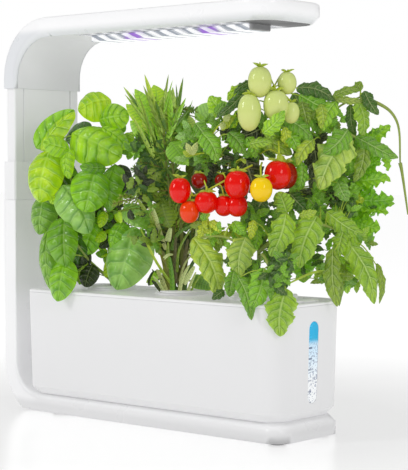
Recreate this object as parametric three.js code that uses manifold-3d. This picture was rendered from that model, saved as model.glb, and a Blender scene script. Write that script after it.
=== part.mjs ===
// Countertop hydroponic garden: a C-shaped frame with a water tank on its base and a lamp on a
// telescopic column, three planted pods in the tank's lid.
// Millimetres, +Z up. X runs along the tank, from the column at -X to the free end with the water
// window at +X. -Y is the front. The origin is the centre of the base's footprint, on the surface
// that the garden stands on.
import * as THREE from 'three';
import { mergeVertices } from 'three/addons/utils/BufferGeometryUtils.js';
import Module from 'manifold-3d';

const wasm = await Module();
wasm.setup();

// Shared clearances and resolutions
const fit = 0.3;
const over = 1;
const wall = 2.2;
const cornerSteps = 5;
const bendSteps = 8;
const roundSides = 16;
const smallSides = 10;
const leastRadius = 0.5;

// Frame: base, column and arm
const footHeight = 2;
const frameLength = 364;
const frameWidth = 96;
const frameHeight = 400;
const baseThick = 18;
const columnThick = 18;
const armThick = 19;
const armReach = 350;
const outerRadius = 60;
const baseSink = 10;
const baseInnerRadius = 30;
const baseEndRadius = 18;
const armEndRadius = 30;
const baseChamfer = 6.5;
const armChamfer = 7;
const columnChamfer = 1.5;
const headChamfer = 2.5;
const edgeRound = 2.5;
const headStraight = 10;
const raisedHeight = 75.5;
const collarHeight = 39.5;
const shelfShare = 1.3;
const cornerTail = 4;

const halfWidth = frameWidth / 2;
const frameLeft = -frameLength / 2;
const frameRight = frameLength / 2;
const baseBottom = footHeight;
const baseTop = baseBottom + baseThick;
const frameTop = baseBottom + frameHeight;
const armBottom = frameTop - armThick;
const armRight = frameLeft + armReach;
const headBottom = frameTop - outerRadius - headStraight;
const collarTop = headBottom - raisedHeight;
const seamLevel = collarTop - collarHeight;

// Base fittings
const coverThick = 2.4;
const coverSeat = 1.2;
const footRadius = 8;
const footRecess = 1;
const footMargin = 4;
const screwHeadRadius = 2.8;
const screwHeadThick = 1;
const screwShankRadius = 1.1;
const screwLength = 9;
const screwInset = 28;
const screwSpread = 33;
const bossRadius = 4;
const pilotRadius = 1.4;

// Power inlet and the contact strip that feeds the sliding column
const inletHeight = 60;
const inletSideways = 24;
const inletRadius = 4.2;
const inletBoreRadius = 2.8;
const inletPinRadius = 1;
const inletLength = 10.5;
const inletFloor = 2;
const inletRecess = 0.4;
const boardThick = 1.6;
const inletBoardWidth = 22;
const inletBoardHeight = 26;
const stripWidth = 16;
const stripFoot = 46;
const stripSeamGap = 3;
const stripSetback = 7.4;
const stripBossWidth = 12;
const stripBossHeight = 16;

// Sliding column and its panel
const slideWall = 2;
const slideRound = 2;
const slideHidden = 104;
const slideInHead = 12;
const panelHalf = 32.8;
const panelGroove = 1.5;
const panelThick = 1.6;
const padWidth = 8;
const padThick = 1.2;
const padHeight = 20;
const padRise = 12;
const contactHeight = 14;
const contactWidth = 12;

// Lamp arm
const coverLip = 1.2;
const underCoverThick = 2;
const lensHalf = 14;
const lensDrop = 5.5;
const lensWall = 1.2;
const lensFlange = 3;
const lensFlangeThick = 1;
const lensAfterBend = 35;
const lensEndGap = 50;
const lensStart = outerRadius + lensAfterBend;
const lensEnd = armReach - lensEndGap;
const endCapThick = 4;
const endCapRound = 2;
const reflectorHalf = 36;
const reflectorThick = 0.8;
const reflectorMargin = 4;
const ledCount = 12;
const ledSize = 4;
const ledHeight = 1;
const ledRowOffset = 6;
const sinkBase = 2;
const sinkFinHeight = 5;
const sinkFins = 6;
const sinkFinShare = 0.4;
const ribThick = 2;
const ribPlaceShares = [0.2, 0.8];
const controlLength = 40;
const switchSetback = 2;
const controlHalf = 18;
const controlPostHeight = 4.7;
const controlPostRadius = 3;
const switchSize = 6;
const switchHeight = 4.2;
const buttonAfterBend = 8;
const buttonRadius = 8.5;
const buttonFlange = 1.6;
const buttonFlangeThick = 1.4;
const buttonSink = 0.3;
const buttonReach = outerRadius + buttonAfterBend;
const controlStart = buttonReach - controlLength / 2 - switchSetback;

// Water tank
const tankStart = 42;
const tankOverhang = 2;
const tankHalf = 54;
const tankRimHeight = 122;
const tankTaper = 3;
const tankFreeRadius = 28;
const tankColumnRadius = 5;
const tankChamferIn = 7;
const tankChamferUp = 7.5;
const tankFloor = 2.6;

const tankLeft = frameLeft + tankStart;
const tankRight = frameRight + tankOverhang;
const tankBottom = baseTop + fit;
const tankRim = baseBottom + tankRimHeight;

// Water window and float
const windowBottomHeight = 33;
const windowRimGap = 14;
const windowTopHeight = tankRimHeight - windowRimGap;
const windowHalf = 6.8;
const windowFlange = 3;
const windowThick = 1.6;
const gasketThick = 0.8;
const floatHalf = 6;
const floatHeight = 15;
const floatThick = 4;
const floatRibThick = 1.6;
const floatRibGap = 0.5;

// Lid, its fill opening and hatch
const lidThick = 2.7;
const lidRound = 0.8;
const lidRibDepth = 5;
const lidRibThick = 1.6;
const podPitch = 94;
const podOpening = 21;
const fillStart = 34;
const fillLength = 20;
const fillHalf = 16;
const hatchThick = 2;
const hatchMargin = 3;
const hatchTab = 3;
const hingeRadius = 2.8;
const hingePinRadius = 1.1;
const hingeLugWidth = 4;
const hingeKnuckleHalf = fillHalf - hingeLugWidth - fit;

const lidBottom = tankRim + fit;
const lidTop = lidBottom + lidThick;
const lidCentre = (tankLeft + tankRight) / 2;
const podPlaces = [-podPitch, 0, podPitch].map((step) => lidCentre + step);

// Pods: basket, sponge and planting collar
const basketFlange = 5;
const basketFlangeThick = 1.6;
const basketDepth = 55;
const basketFootRadius = 15.5;
const basketWall = 1.4;
const basketSlots = 3;
const basketSlotWidth = 4;
const basketSlotHeight = 30;
const basketSlotFoot = 10;
const basketDrainRadius = 7;
const collarReach = 4;
const collarThick = 2;
const collarSpigot = 6;
const collarHoleRadius = 10;
const rootRadius = 4;
const rootDepth = 16;

const basketRadius = podOpening - fit * 2;

// Plants: a plant's frame stands on the lid at its pod, with right and back turned from X and Y
const plantTurn = 40.75;
const basilRoomShare = 0.814;
const rosemaryRoomShare = 0.858;
const tomatoRoomShare = 0.878;
const basilSpread = 204;
const rosemarySpread = 215;
const tomatoSpread = 220;
const bladeHalf = 0.7;
const stalkSides = 4;
const petioleSides = 3;
const petioleRadius = 0.9;
const petioleTip = 0.7;
const needleRadius = 1.1;
const plugTaper = 2;
const plugRise = 8;
const greensPlugRadius = 2.5;
const greensPlugAway = 6.8;
const greensPlugRise = 14;
const fruitStalk = 1.3;
const rosemaryNeedleLength = 11;
const stalkSamples = 6;
const leafPull = 0.35;

// Each plant's pod, its height as a share of the room between the lid and the lamp, and its spread
const lampRoom = armBottom - lensDrop - lidTop;
const basilSize = { pod: 0, height: basilRoomShare * lampRoom, spread: basilSpread };
const rosemarySize = { pod: 1, height: rosemaryRoomShare * lampRoom, spread: rosemarySpread };
const tomatoSize = { pod: 2, height: tomatoRoomShare * lampRoom, spread: tomatoSpread };

// Materials
const white = (roughness) => new THREE.MeshStandardMaterial({ color: 0xf2f2f2, roughness });
const plain = (color, roughness, metalness = 0) =>
  new THREE.MeshStandardMaterial({ color, roughness, metalness });
const glossWhite = white(0.3);
const satinWhite = white(0.5);
const tankWhite = plain(0xe9e9ea, 0.35);
const underWhite = plain(0xd8d8da, 0.5);
const darkRubber = plain(0x2a2a2c, 0.9);
const steel = plain(0xb8bbc0, 0.35, 1);
const aluminium = plain(0xc4c6c9, 0.45, 1);
const mirror = plain(0xe6e6ee, 0.1, 1);
const clear = plain(0xdfe9f2, 0.1);
const circuitGreen = plain(0x2f6b46, 0.6);
const brass = plain(0xb99a4a, 0.35, 1);
const waterBlue = plain(0x9fd8ef, 0.15);
const floatBlue = plain(0x18b4e6, 0.4);
const spongeDark = plain(0x3a2f26, 0.95);
const blackPlastic = plain(0x1d1d1f, 0.5);
const basilGreen = plain(0x6fae3a, 0.55);
const rosemaryGreen = plain(0x55773f, 0.7);
const tomatoGreen = plain(0x5d8f35, 0.65);
const saladGreen = plain(0x6eae24, 0.6);
const fruitGreen = plain(0xd5e08c, 0.3);
const fruitRed = plain(0xd8230f, 0.2);
const fruitYellow = plain(0xf2c51a, 0.2);

// A closed three.js geometry as a solid for joining and cutting
function solid(geometry) {
  const bare = geometry.clone();
  bare.deleteAttribute('normal');
  bare.deleteAttribute('uv');
  const merged = mergeVertices(bare);
  return new wasm.Manifold(
    new wasm.Mesh({
      numProp: 3,
      vertProperties: new Float32Array(merged.attributes.position.array),
      triVerts: new Uint32Array(merged.index.array),
    }),
  );
}

// A named mesh from a solid
function piece(name, body, material) {
  const cut = body.getMesh();
  const geometry = new THREE.BufferGeometry();
  geometry.setAttribute('position', new THREE.BufferAttribute(cut.vertProperties, 3));
  geometry.setIndex(new THREE.BufferAttribute(cut.triVerts, 1));
  geometry.computeVertexNormals();
  const mesh = new THREE.Mesh(geometry, material);
  mesh.name = name;
  return mesh;
}

const joined = (bodies) => bodies.reduce((whole, body) => whole.add(body));

// A closed skin over rings of equal length, with both ends capped by the flat outline
function loft(rings, flat) {
  const count = flat.length;
  const faces = [];
  for (let ring = 0; ring < rings.length - 1; ring += 1) {
    for (let side = 0; side < count; side += 1) {
      const next = (side + 1) % count;
      const a = ring * count + side;
      const b = ring * count + next;
      const c = (ring + 1) * count + next;
      const d = (ring + 1) * count + side;
      faces.push([a, b, c], [a, c, d]);
    }
  }
  const turn = Math.sign(THREE.ShapeUtils.area(flat));
  const last = (rings.length - 1) * count;
  for (const [a, b, c] of THREE.ShapeUtils.triangulateShape(flat, [])) {
    const own = Math.sign(THREE.ShapeUtils.area([flat[a], flat[b], flat[c]]));
    const [p, q] = own === turn ? [a, b] : [b, a];
    faces.push([q, p, c], [last + p, last + q, last + c]);
  }
  const points = rings.flat();
  const volume = faces.reduce(
    (sum, [a, b, c]) => sum + points[a].dot(points[b].clone().cross(points[c])),
    0,
  );
  const geometry = new THREE.BufferGeometry().setFromPoints(points);
  geometry.setIndex(faces.flatMap(([a, b, c]) => (volume > 0 ? [a, b, c] : [a, c, b])));
  return solid(geometry);
}

const flatPoint = (x, y) => new THREE.Vector2(x, y);

// A rounded rectangle in plan, drawn in by an inset
function plateOutline(plan, inset) {
  const near = Math.max(plan.leftRadius - inset, leastRadius);
  const far = Math.max(plan.rightRadius - inset, leastRadius);
  const left = plan.left + inset + near;
  const right = plan.right - inset - far;
  const corners = [
    [right, -(plan.half - inset - far), far, -Math.PI / 2],
    [right, plan.half - inset - far, far, 0],
    [left, plan.half - inset - near, near, Math.PI / 2],
    [left, -(plan.half - inset - near), near, Math.PI],
  ];
  return corners.flatMap(([x, y, radius, start]) =>
    Array.from({ length: cornerSteps + 1 }, (_, step) => {
      const angle = start + (step / cornerSteps) * (Math.PI / 2);
      return flatPoint(x + radius * Math.cos(angle), y + radius * Math.sin(angle));
    }),
  );
}

// A stack of insets of one plan: layers are [level, inset] from the bottom up
function plate(plan, layers) {
  const rings = layers.map(([level, inset]) =>
    plateOutline(plan, inset).map((p) => new THREE.Vector3(p.x, p.y, level)),
  );
  return loft(rings, plateOutline(plan, layers[0][1]));
}

const box = (left, right, front, back, bottom, top) =>
  solid(
    new THREE.BoxGeometry(right - left, back - front, top - bottom).translate(
      (left + right) / 2,
      (front + back) / 2,
      (bottom + top) / 2,
    ),
  );

// An upright cylinder or cone
const post = (x, y, bottom, top, radius, sides = smallSides, topRadius = radius) =>
  solid(
    new THREE.CylinderGeometry(topRadius, radius, top - bottom, sides)
      .rotateX(Math.PI / 2)
      .translate(x, y, (bottom + top) / 2),
  );

// A turned solid about an upright axis, from a profile of [radius, level]
const turned = (profile, sides = roundSides) =>
  solid(
    new THREE.LatheGeometry(
      profile.map(([radius, level]) => flatPoint(radius, level)),
      sides,
    ).rotateX(Math.PI / 2),
  );

// Stations of the frame's bend: an outer and an inner point in the XZ plane, and a chamfer
function bendStations(bend) {
  const { outerCentre, innerCentre, innerRadius, sign, outerSweep, thickEnd, chamfers } = bend;
  return Array.from({ length: bendSteps + 1 }, (_, step) => {
    const share = step / bendSteps;
    const outerTurn = share * outerSweep;
    const innerTurn = (share * Math.PI) / 2;
    const radius = innerRadius + share * (thickEnd - innerRadius);
    return {
      outer: flatPoint(
        outerCentre.x - outerRadius * Math.cos(outerTurn),
        outerCentre.y + sign * outerRadius * Math.sin(outerTurn),
      ),
      inner: flatPoint(
        innerCentre.x - radius * Math.cos(innerTurn),
        innerCentre.y + sign * radius * Math.sin(innerTurn),
      ),
      chamfer: chamfers[0] + share * (chamfers[1] - chamfers[0]),
    };
  });
}

// The frame's cross-section: rounded outside edges, chamfered inside edges
function barSection(thick, chamfer) {
  const corner = Array.from({ length: 3 }, (_, step) => {
    const angle = (step / 2) * (Math.PI / 2);
    return [
      edgeRound * (1 - Math.sin(angle)),
      halfWidth - edgeRound * (1 - Math.cos(angle)),
    ];
  });
  const upper = [...corner.reverse(), [thick - chamfer, halfWidth], [thick, halfWidth - chamfer]];
  const lower = upper.map(([depth, side]) => [depth, -side]).reverse();
  return [...upper, ...lower];
}

const plainSection = (from, to, half) => [
  [from, -half],
  [to, -half],
  [to, half],
  [from, half],
];

// A solid that follows bend stations with a section given for each thickness and chamfer
function bar(stations, section) {
  const sections = stations.map(({ outer, inner, chamfer }) =>
    section(outer.distanceTo(inner), chamfer),
  );
  const rings = stations.map(({ outer, inner }, place) => {
    const across = inner.clone().sub(outer).normalize();
    return sections[place].map(([depth, side]) => {
      const spot = outer.clone().addScaledVector(across, depth);
      return new THREE.Vector3(spot.x, side, spot.y);
    });
  });
  return loft(
    rings,
    sections[0].map(([depth, side]) => flatPoint(depth, side)),
  );
}

const straight = (level, chamfer) => ({
  outer: flatPoint(frameLeft, level),
  inner: flatPoint(frameLeft + columnThick, level),
  chamfer,
});

// Base shell with the lower column

const basePlan = {
  left: frameLeft + outerRadius - baseInnerRadius + baseEndRadius / 2,
  right: frameRight,
  half: halfWidth,
  leftRadius: edgeRound,
  rightRadius: baseEndRadius,
};
const baseCornerEnd = frameLeft + columnThick + baseInnerRadius;

function baseCornerStations() {
  const sweep = Math.asin((outerRadius - baseSink) / outerRadius);
  const stations = bendStations({
    outerCentre: flatPoint(frameLeft + outerRadius, baseBottom + outerRadius - baseSink),
    innerCentre: flatPoint(baseCornerEnd, baseTop + baseInnerRadius),
    innerRadius: baseInnerRadius,
    thickEnd: baseInnerRadius,
    sign: -1,
    outerSweep: sweep,
    chamfers: [columnChamfer, baseChamfer],
  });
  const tail = {
    outer: flatPoint(baseCornerEnd + cornerTail, baseBottom),
    inner: flatPoint(baseCornerEnd + cornerTail, baseTop),
    chamfer: baseChamfer,
  };
  return { stations, tail };
}

const coverTop = baseBottom + coverThick;
const coverGap = wall + coverSeat + fit;
const coverPlan = {
  ...basePlan,
  left: baseCornerEnd + cornerTail,
  leftRadius: leastRadius + coverGap,
};
const coverEnds = [coverPlan.left + coverGap, coverPlan.right - coverGap];
const screwPlaces = coverEnds.flatMap((end, side) =>
  [-1, 1].map((across) => [end + (side ? -screwInset : screwInset), across * screwSpread]),
);
const footReach = footRadius + footMargin;
const footPlaces = coverEnds.flatMap((end, side) =>
  [-1, 1].map((across) => [
    end + (side ? -footReach : footReach),
    across * (coverPlan.half - coverGap - footReach),
  ]),
);
footPlaces.push([0, 0]);

function buildBaseShell() {
  const { stations, tail } = baseCornerStations();
  const corner = bar([straight(seamLevel, columnChamfer), ...stations, tail], barSection);
  const slab = plate(basePlan, [
    [baseBottom, 0],
    [baseTop - baseChamfer, 0],
    [baseTop, baseChamfer],
  ]);
  const shaft = bar([straight(seamLevel + over, columnChamfer), ...stations], (thick, chamfer) =>
    plainSection(wall, thick - wall, halfWidth - wall - (chamfer - columnChamfer)),
  );
  const hollow = plate(coverPlan, [
    [baseBottom - over, wall + coverSeat],
    [coverTop + fit, wall + coverSeat],
    [baseTop - baseChamfer, wall + coverSeat],
    [baseTop - wall, wall + baseChamfer],
  ]);
  const link = box(
    baseCornerEnd - baseInnerRadius / 2,
    coverPlan.left + wall + coverSeat + over,
    -(halfWidth - wall - baseChamfer),
    halfWidth - wall - baseChamfer,
    coverTop + fit,
    baseTop - wall,
  );
  const inletHole = solid(
    new THREE.CylinderGeometry(inletRadius + fit, inletRadius + fit, wall * 3, smallSides)
      .rotateZ(Math.PI / 2)
      .translate(frameLeft, inletSideways, baseBottom + inletHeight),
  );
  const bosses = screwPlaces.map(([x, y]) =>
    post(x, y, coverTop + fit, baseTop - wall + over / 2, bossRadius).subtract(
      post(x, y, coverTop, baseTop - wall, pilotRadius),
    ),
  );
  const stripBoss = box(
    frameLeft + stripSetback + boardThick + fit,
    frameLeft + columnThick - wall / 2,
    -stripBossWidth / 2,
    stripBossWidth / 2,
    baseBottom + stripFoot,
    baseBottom + stripFoot + stripBossHeight,
  );
  const shell = joined([corner, slab])
    .subtract(shaft)
    .subtract(hollow)
    .subtract(link)
    .subtract(inletHole);
  return joined([shell, ...bosses, stripBoss]);
}

function buildBottomCover() {
  let cover = plate(coverPlan, [
    [baseBottom, coverGap],
    [coverTop, coverGap],
  ]);
  for (const [x, y] of screwPlaces) {
    cover = cover
      .subtract(post(x, y, baseBottom - over, coverTop + over, screwShankRadius + fit * 2))
      .subtract(
        post(x, y, baseBottom - over, baseBottom + screwHeadThick + fit, screwHeadRadius + fit),
      );
  }
  for (const [x, y] of footPlaces) {
    cover = cover.subtract(
      post(x, y, baseBottom - over, baseBottom + footRecess + fit, footRadius + fit, roundSides),
    );
  }
  return cover;
}

const footProfile = [
  [0, 0],
  [footRadius - footRecess, 0],
  [footRadius, footRecess],
  [footRadius, footHeight + footRecess],
  [0, footHeight + footRecess],
];
const buildFoot = ([x, y]) => turned(footProfile).translate([x, y, 0]);

const screwProfile = [
  [0, 0],
  [screwHeadRadius, 0],
  [screwHeadRadius, screwHeadThick],
  [screwShankRadius, screwHeadThick],
  [screwShankRadius, screwLength],
  [0, screwLength],
];
const buildCoverScrew = ([x, y]) => turned(screwProfile, smallSides).translate([x, y, baseBottom]);

// Column collar, which the sliding column runs through

function buildCollar() {
  const sleeve = bar(
    [straight(seamLevel + fit, columnChamfer), straight(collarTop, columnChamfer)],
    barSection,
  );
  const bore = bar(
    [straight(seamLevel, columnChamfer), straight(collarTop + over, columnChamfer)],
    (thick) => plainSection(wall, thick - wall, halfWidth - wall),
  );
  return sleeve.subtract(bore);
}

// Power inlet, its board and the contact strip

function buildInlet() {
  const profile = [
    [0, inletFloor],
    [inletPinRadius, inletFloor],
    [inletPinRadius, inletLength - inletFloor],
    [inletBoreRadius, inletLength - inletFloor],
    [inletBoreRadius, 0],
    [inletRadius, 0],
    [inletRadius, inletLength],
    [0, inletLength],
  ];
  return turned(profile, smallSides)
    .rotate([0, 90, 0])
    .translate([frameLeft + inletRecess, inletSideways, baseBottom + inletHeight]);
}

function buildInletBoard() {
  const face = frameLeft + inletRecess + inletLength + fit;
  return box(
    face,
    face + boardThick,
    inletSideways - inletBoardWidth / 2,
    inletSideways + inletBoardWidth / 2,
    baseBottom + inletHeight - inletBoardHeight / 2,
    baseBottom + inletHeight + inletBoardHeight / 2,
  );
}

const buildContactStrip = () =>
  box(
    frameLeft + stripSetback,
    frameLeft + stripSetback + boardThick,
    -stripWidth / 2,
    stripWidth / 2,
    baseBottom + stripFoot,
    seamLevel - stripSeamGap,
  );

// Sliding column

const slideInset = wall + fit;
const slideBottom = collarTop - slideHidden;
const slideTop = headBottom + slideInHead;
const slidePlan = {
  left: frameLeft + slideInset,
  right: frameLeft + columnThick - slideInset,
  half: halfWidth - slideInset,
  leftRadius: slideRound,
  rightRadius: slideRound,
};
const padBottom = slideBottom + padRise;

function buildSlideColumn() {
  const tube = plate(slidePlan, [
    [slideBottom, 0],
    [slideTop, 0],
  ]);
  const bore = plate({ ...slidePlan, right: slidePlan.right - panelThick - fit }, [
    [slideBottom - over, slideWall],
    [slideTop + over, slideWall],
  ]);
  const recess = box(
    slidePlan.right - panelThick - fit,
    slidePlan.right + over,
    -(panelHalf + panelGroove),
    panelHalf + panelGroove,
    slideBottom - over,
    headBottom + over,
  );
  let column = tube.subtract(bore).subtract(recess);
  for (const side of [-1, 1]) {
    const outer = side * (slidePlan.half + over);
    const inner = side * (slidePlan.half - padThick - fit);
    column = column.subtract(
      box(
        frameLeft + columnThick / 2 - padWidth / 2 - fit,
        frameLeft + columnThick / 2 + padWidth / 2 + fit,
        Math.min(outer, inner),
        Math.max(outer, inner),
        padBottom - fit,
        padBottom + padHeight + fit,
      ),
    );
  }
  return column;
}

const buildColumnPanel = () =>
  box(
    slidePlan.right - panelThick,
    slidePlan.right,
    -panelHalf,
    panelHalf,
    slideBottom,
    headBottom + over - fit,
  );

function buildFrictionPad(side) {
  const outer = side * slidePlan.half;
  const inner = side * (slidePlan.half - padThick);
  return box(
    frameLeft + columnThick / 2 - padWidth / 2,
    frameLeft + columnThick / 2 + padWidth / 2,
    Math.min(outer, inner),
    Math.max(outer, inner),
    padBottom,
    padBottom + padHeight,
  );
}

const buildContactBlock = () =>
  box(
    slidePlan.left + slideWall + fit,
    frameLeft + stripSetback - fit,
    -contactWidth / 2,
    contactWidth / 2,
    slideBottom + padRise,
    slideBottom + padRise + contactHeight,
  );

// Lamp arm

const armPlan = {
  left: frameLeft + outerRadius - over,
  right: armRight,
  half: halfWidth,
  leftRadius: edgeRound,
  rightRadius: armEndRadius,
};
const armCornerEnd = frameLeft + outerRadius + cornerTail;

function armStations() {
  const centre = flatPoint(frameLeft + outerRadius, frameTop - outerRadius);
  const stations = bendStations({
    outerCentre: centre,
    innerCentre: centre,
    innerRadius: outerRadius - columnThick,
    thickEnd: outerRadius - armThick,
    sign: 1,
    outerSweep: Math.PI / 2,
    chamfers: [headChamfer, armChamfer],
  });
  const tail = {
    outer: flatPoint(armCornerEnd, frameTop),
    inner: flatPoint(armCornerEnd, armBottom),
    chamfer: armChamfer,
  };
  return [...stations, tail];
}

const shelfDepth = (thick, chamfer) => thick - wall - (chamfer - headChamfer) * shelfShare;
const hollowSection = (thick, chamfer) => {
  const shelf = shelfDepth(thick, chamfer);
  const wide = halfWidth - wall;
  const narrow = halfWidth - chamfer - coverLip;
  return [
    [wall, -wide],
    [shelf, -wide],
    [shelf, -narrow],
    [thick + over, -narrow],
    [thick + over, narrow],
    [shelf, narrow],
    [shelf, wide],
    [wall, wide],
  ];
};
const coverInset = armChamfer + coverLip;
const armHollow = (inset, radius) => ({
  ...armPlan,
  left: armCornerEnd - cornerTail / 2 - inset,
  leftRadius: radius,
});

function buildArmShell() {
  const head = straight(headBottom, headChamfer);
  const stations = armStations();
  const corner = bar([head, ...stations], barSection);
  const slab = plate(armPlan, [
    [armBottom, armChamfer],
    [armBottom + armChamfer, 0],
    [frameTop - edgeRound, 0],
    [frameTop - edgeRound / 3, edgeRound / 3],
    [frameTop, edgeRound],
  ]);
  const cornerHollow = bar([straight(headBottom - over, headChamfer), ...stations], hollowSection);
  const shelf = frameTop - shelfDepth(armThick, armChamfer);
  const wide = plate(armHollow(wall, leastRadius), [
    [shelf, wall],
    [frameTop - wall, wall],
  ]);
  const narrow = plate(armHollow(coverInset, leastRadius), [
    [armBottom - over, coverInset],
    [shelf + over, coverInset],
  ]);
  const buttonHole = post(
    frameLeft + buttonReach,
    0,
    frameTop - wall - over,
    frameTop + over,
    buttonRadius + fit,
    roundSides,
  );
  const ribs = ribPlaceShares.map((share) => {
    const place = frameLeft + lensStart + share * (lensEnd - lensStart);
    return box(
      place - ribThick / 2,
      place + ribThick / 2,
      -(halfWidth - wall / 2),
      halfWidth - wall / 2,
      sinkTop + fit,
      frameTop - wall / 2,
    );
  });
  const shell = joined([corner, slab])
    .subtract(cornerHollow)
    .subtract(wide)
    .subtract(narrow);
  return joined([shell, ...ribs]).subtract(buttonHole);
}

// Levels inside the arm, from the under cover upwards
const underTop = armBottom + underCoverThick;
const lensFlangeBottom = underTop + fit;
const lensTop = lensFlangeBottom + lensFlangeThick;
const ledBoardBottom = lensTop + fit;
const ledBoardTop = ledBoardBottom + boardThick;
const sinkBottom = ledBoardTop + fit;
const sinkTop = sinkBottom + sinkBase + sinkFinHeight;
const controlBottom = underTop + controlPostHeight + fit;
const controlPlaces = [-1, 1].map((side) => [
  frameLeft + controlStart + controlLength / 2,
  side * (controlHalf - controlPostRadius * 2),
]);

function buildUnderCover() {
  const section = (thick, chamfer) =>
    plainSection(thick - underCoverThick, thick, halfWidth - chamfer - coverLip - fit);
  const corner = bar([straight(headBottom, headChamfer), ...armStations()], section);
  const inset = coverInset + fit;
  const slab = plate(armHollow(inset, leastRadius), [
    [armBottom, inset],
    [underTop, inset],
  ]);
  const lensHole = box(
    frameLeft + lensStart - fit,
    frameLeft + lensEnd + endCapThick + fit * 2,
    -(lensHalf + fit),
    lensHalf + fit,
    armBottom - over,
    underTop + over,
  );
  const recess = box(
    frameLeft + lensStart - reflectorMargin - fit,
    frameLeft + lensEnd + endCapThick + reflectorMargin + fit,
    -(reflectorHalf + fit),
    reflectorHalf + fit,
    armBottom - over,
    armBottom + reflectorThick + fit,
  );
  const posts = controlPlaces.map(([x, y]) =>
    post(x, y, underTop - over, underTop + controlPostHeight, controlPostRadius),
  );
  return joined([joined([corner, slab]).subtract(lensHole).subtract(recess), ...posts]);
}

function buildReflector() {
  const sheet = box(
    frameLeft + lensStart - reflectorMargin,
    frameLeft + lensEnd + endCapThick + reflectorMargin,
    -reflectorHalf,
    reflectorHalf,
    armBottom,
    armBottom + reflectorThick,
  );
  return sheet.subtract(
    box(
      frameLeft + lensStart - fit,
      frameLeft + lensEnd + endCapThick + fit * 2,
      -(lensHalf + fit),
      lensHalf + fit,
      armBottom - over,
      armBottom + over,
    ),
  );
}

function buildLens() {
  const left = frameLeft + lensStart;
  const right = frameLeft + lensEnd;
  const bottom = armBottom - lensDrop;
  const trough = joined([
    box(left, right, -lensHalf, lensHalf, bottom, lensTop),
    box(
      left - lensFlange,
      right,
      -(lensHalf + lensFlange),
      lensHalf + lensFlange,
      lensFlangeBottom,
      lensTop,
    ),
  ]);
  return trough.subtract(
    box(
      left + lensWall,
      right + over,
      -(lensHalf - lensWall),
      lensHalf - lensWall,
      bottom + lensWall,
      lensTop + over,
    ),
  );
}

function buildEndCap() {
  const left = frameLeft + lensEnd + fit;
  const plan = {
    left,
    right: left + endCapThick,
    half: lensHalf,
    leftRadius: leastRadius,
    rightRadius: endCapRound,
  };
  return plate(plan, [
    [armBottom - lensDrop, endCapRound / 3],
    [armBottom - lensDrop + endCapRound / 2, 0],
    [lensTop, 0],
  ]);
}

function buildLedBoard() {
  const left = frameLeft + lensStart;
  const right = frameLeft + lensEnd;
  const board = box(
    left,
    right,
    -(lensHalf + lensFlange),
    lensHalf + lensFlange,
    ledBoardBottom,
    ledBoardTop,
  );
  const pitch = (right - left) / ledCount;
  const chips = Array.from({ length: ledCount }, (_, place) => {
    const x = left + pitch * (place + 1 / 2);
    const y = place % 2 ? ledRowOffset : -ledRowOffset;
    return box(
      x - ledSize / 2,
      x + ledSize / 2,
      y - ledSize / 2,
      y + ledSize / 2,
      ledBoardBottom - ledHeight,
      ledBoardBottom + boardThick / 2,
    );
  });
  return joined([board, ...chips]);
}

function buildHeatSink() {
  const left = frameLeft + lensStart;
  const right = frameLeft + lensEnd;
  const half = lensHalf + lensFlange;
  const plateBody = box(left, right, -half, half, sinkBottom, sinkBottom + sinkBase);
  const pitch = (half * 2) / sinkFins;
  const fins = Array.from({ length: sinkFins }, (_, place) => {
    const y = -half + pitch * (place + 1 / 2);
    return box(
      left,
      right,
      y - (pitch * sinkFinShare) / 2,
      y + (pitch * sinkFinShare) / 2,
      sinkBottom + sinkBase / 2,
      sinkTop,
    );
  });
  return joined([plateBody, ...fins]);
}

function buildControlBoard() {
  const left = frameLeft + controlStart;
  const board = box(
    left,
    left + controlLength,
    -controlHalf,
    controlHalf,
    controlBottom,
    controlBottom + boardThick,
  );
  const x = frameLeft + buttonReach;
  const tact = box(
    x - switchSize / 2,
    x + switchSize / 2,
    -switchSize / 2,
    switchSize / 2,
    controlBottom,
    controlBottom + boardThick + switchHeight,
  );
  return joined([board, tact]);
}

function buildButton() {
  const top = frameTop - buttonSink;
  const under = frameTop - wall - fit;
  const profile = [
    [0, under - buttonFlangeThick],
    [buttonRadius + buttonFlange, under - buttonFlangeThick],
    [buttonRadius + buttonFlange, under],
    [buttonRadius, under],
    [buttonRadius, top],
    [0, top],
  ];
  return turned(profile).translate([frameLeft + buttonReach, 0, 0]);
}

// Water tank

const tankPlan = {
  left: tankLeft,
  right: tankRight,
  half: tankHalf,
  leftRadius: tankColumnRadius,
  rightRadius: tankFreeRadius,
};
const taperAt = (level) => (tankTaper * (tankRim - level)) / (tankRim - tankBottom);
const tankLayers = (inset, bottom, top) => [
  [bottom, taperAt(bottom) + tankChamferIn + inset],
  [bottom + tankChamferUp, taperAt(bottom + tankChamferUp) + inset],
  [top, taperAt(top) + inset],
];

// The window's frame: X outwards, Y across and Z along the tank's sloping end
const windowTilt = Math.atan(tankTaper / (tankRim - tankBottom));
const windowMiddle = baseBottom + (windowBottomHeight + windowTopHeight) / 2;
const windowRise = (windowTopHeight - windowBottomHeight) / 2;
const windowPlace = new THREE.Vector3(tankRight - taperAt(windowMiddle), 0, windowMiddle);
const tiltDegrees = THREE.MathUtils.radToDeg(windowTilt);
const onWindow = (body) => body.rotate([0, tiltDegrees, 0]).translate(windowPlace.toArray());

// An upright stadium slab between two depths behind the tank's end face
function stadium(half, rise, from, to) {
  const steps = cornerSteps * 2;
  const outline = [1, -1].flatMap((end) =>
    Array.from({ length: steps + 1 }, (_, step) => {
      const angle = (step / steps) * Math.PI + (end > 0 ? 0 : Math.PI);
      return flatPoint(half * Math.cos(angle), end * (rise - half) + half * Math.sin(angle));
    }),
  );
  const rings = [from, to].map((depth) =>
    outline.map((p) => new THREE.Vector3(-depth, p.x, p.y)),
  );
  return loft(rings, outline);
}

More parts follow.
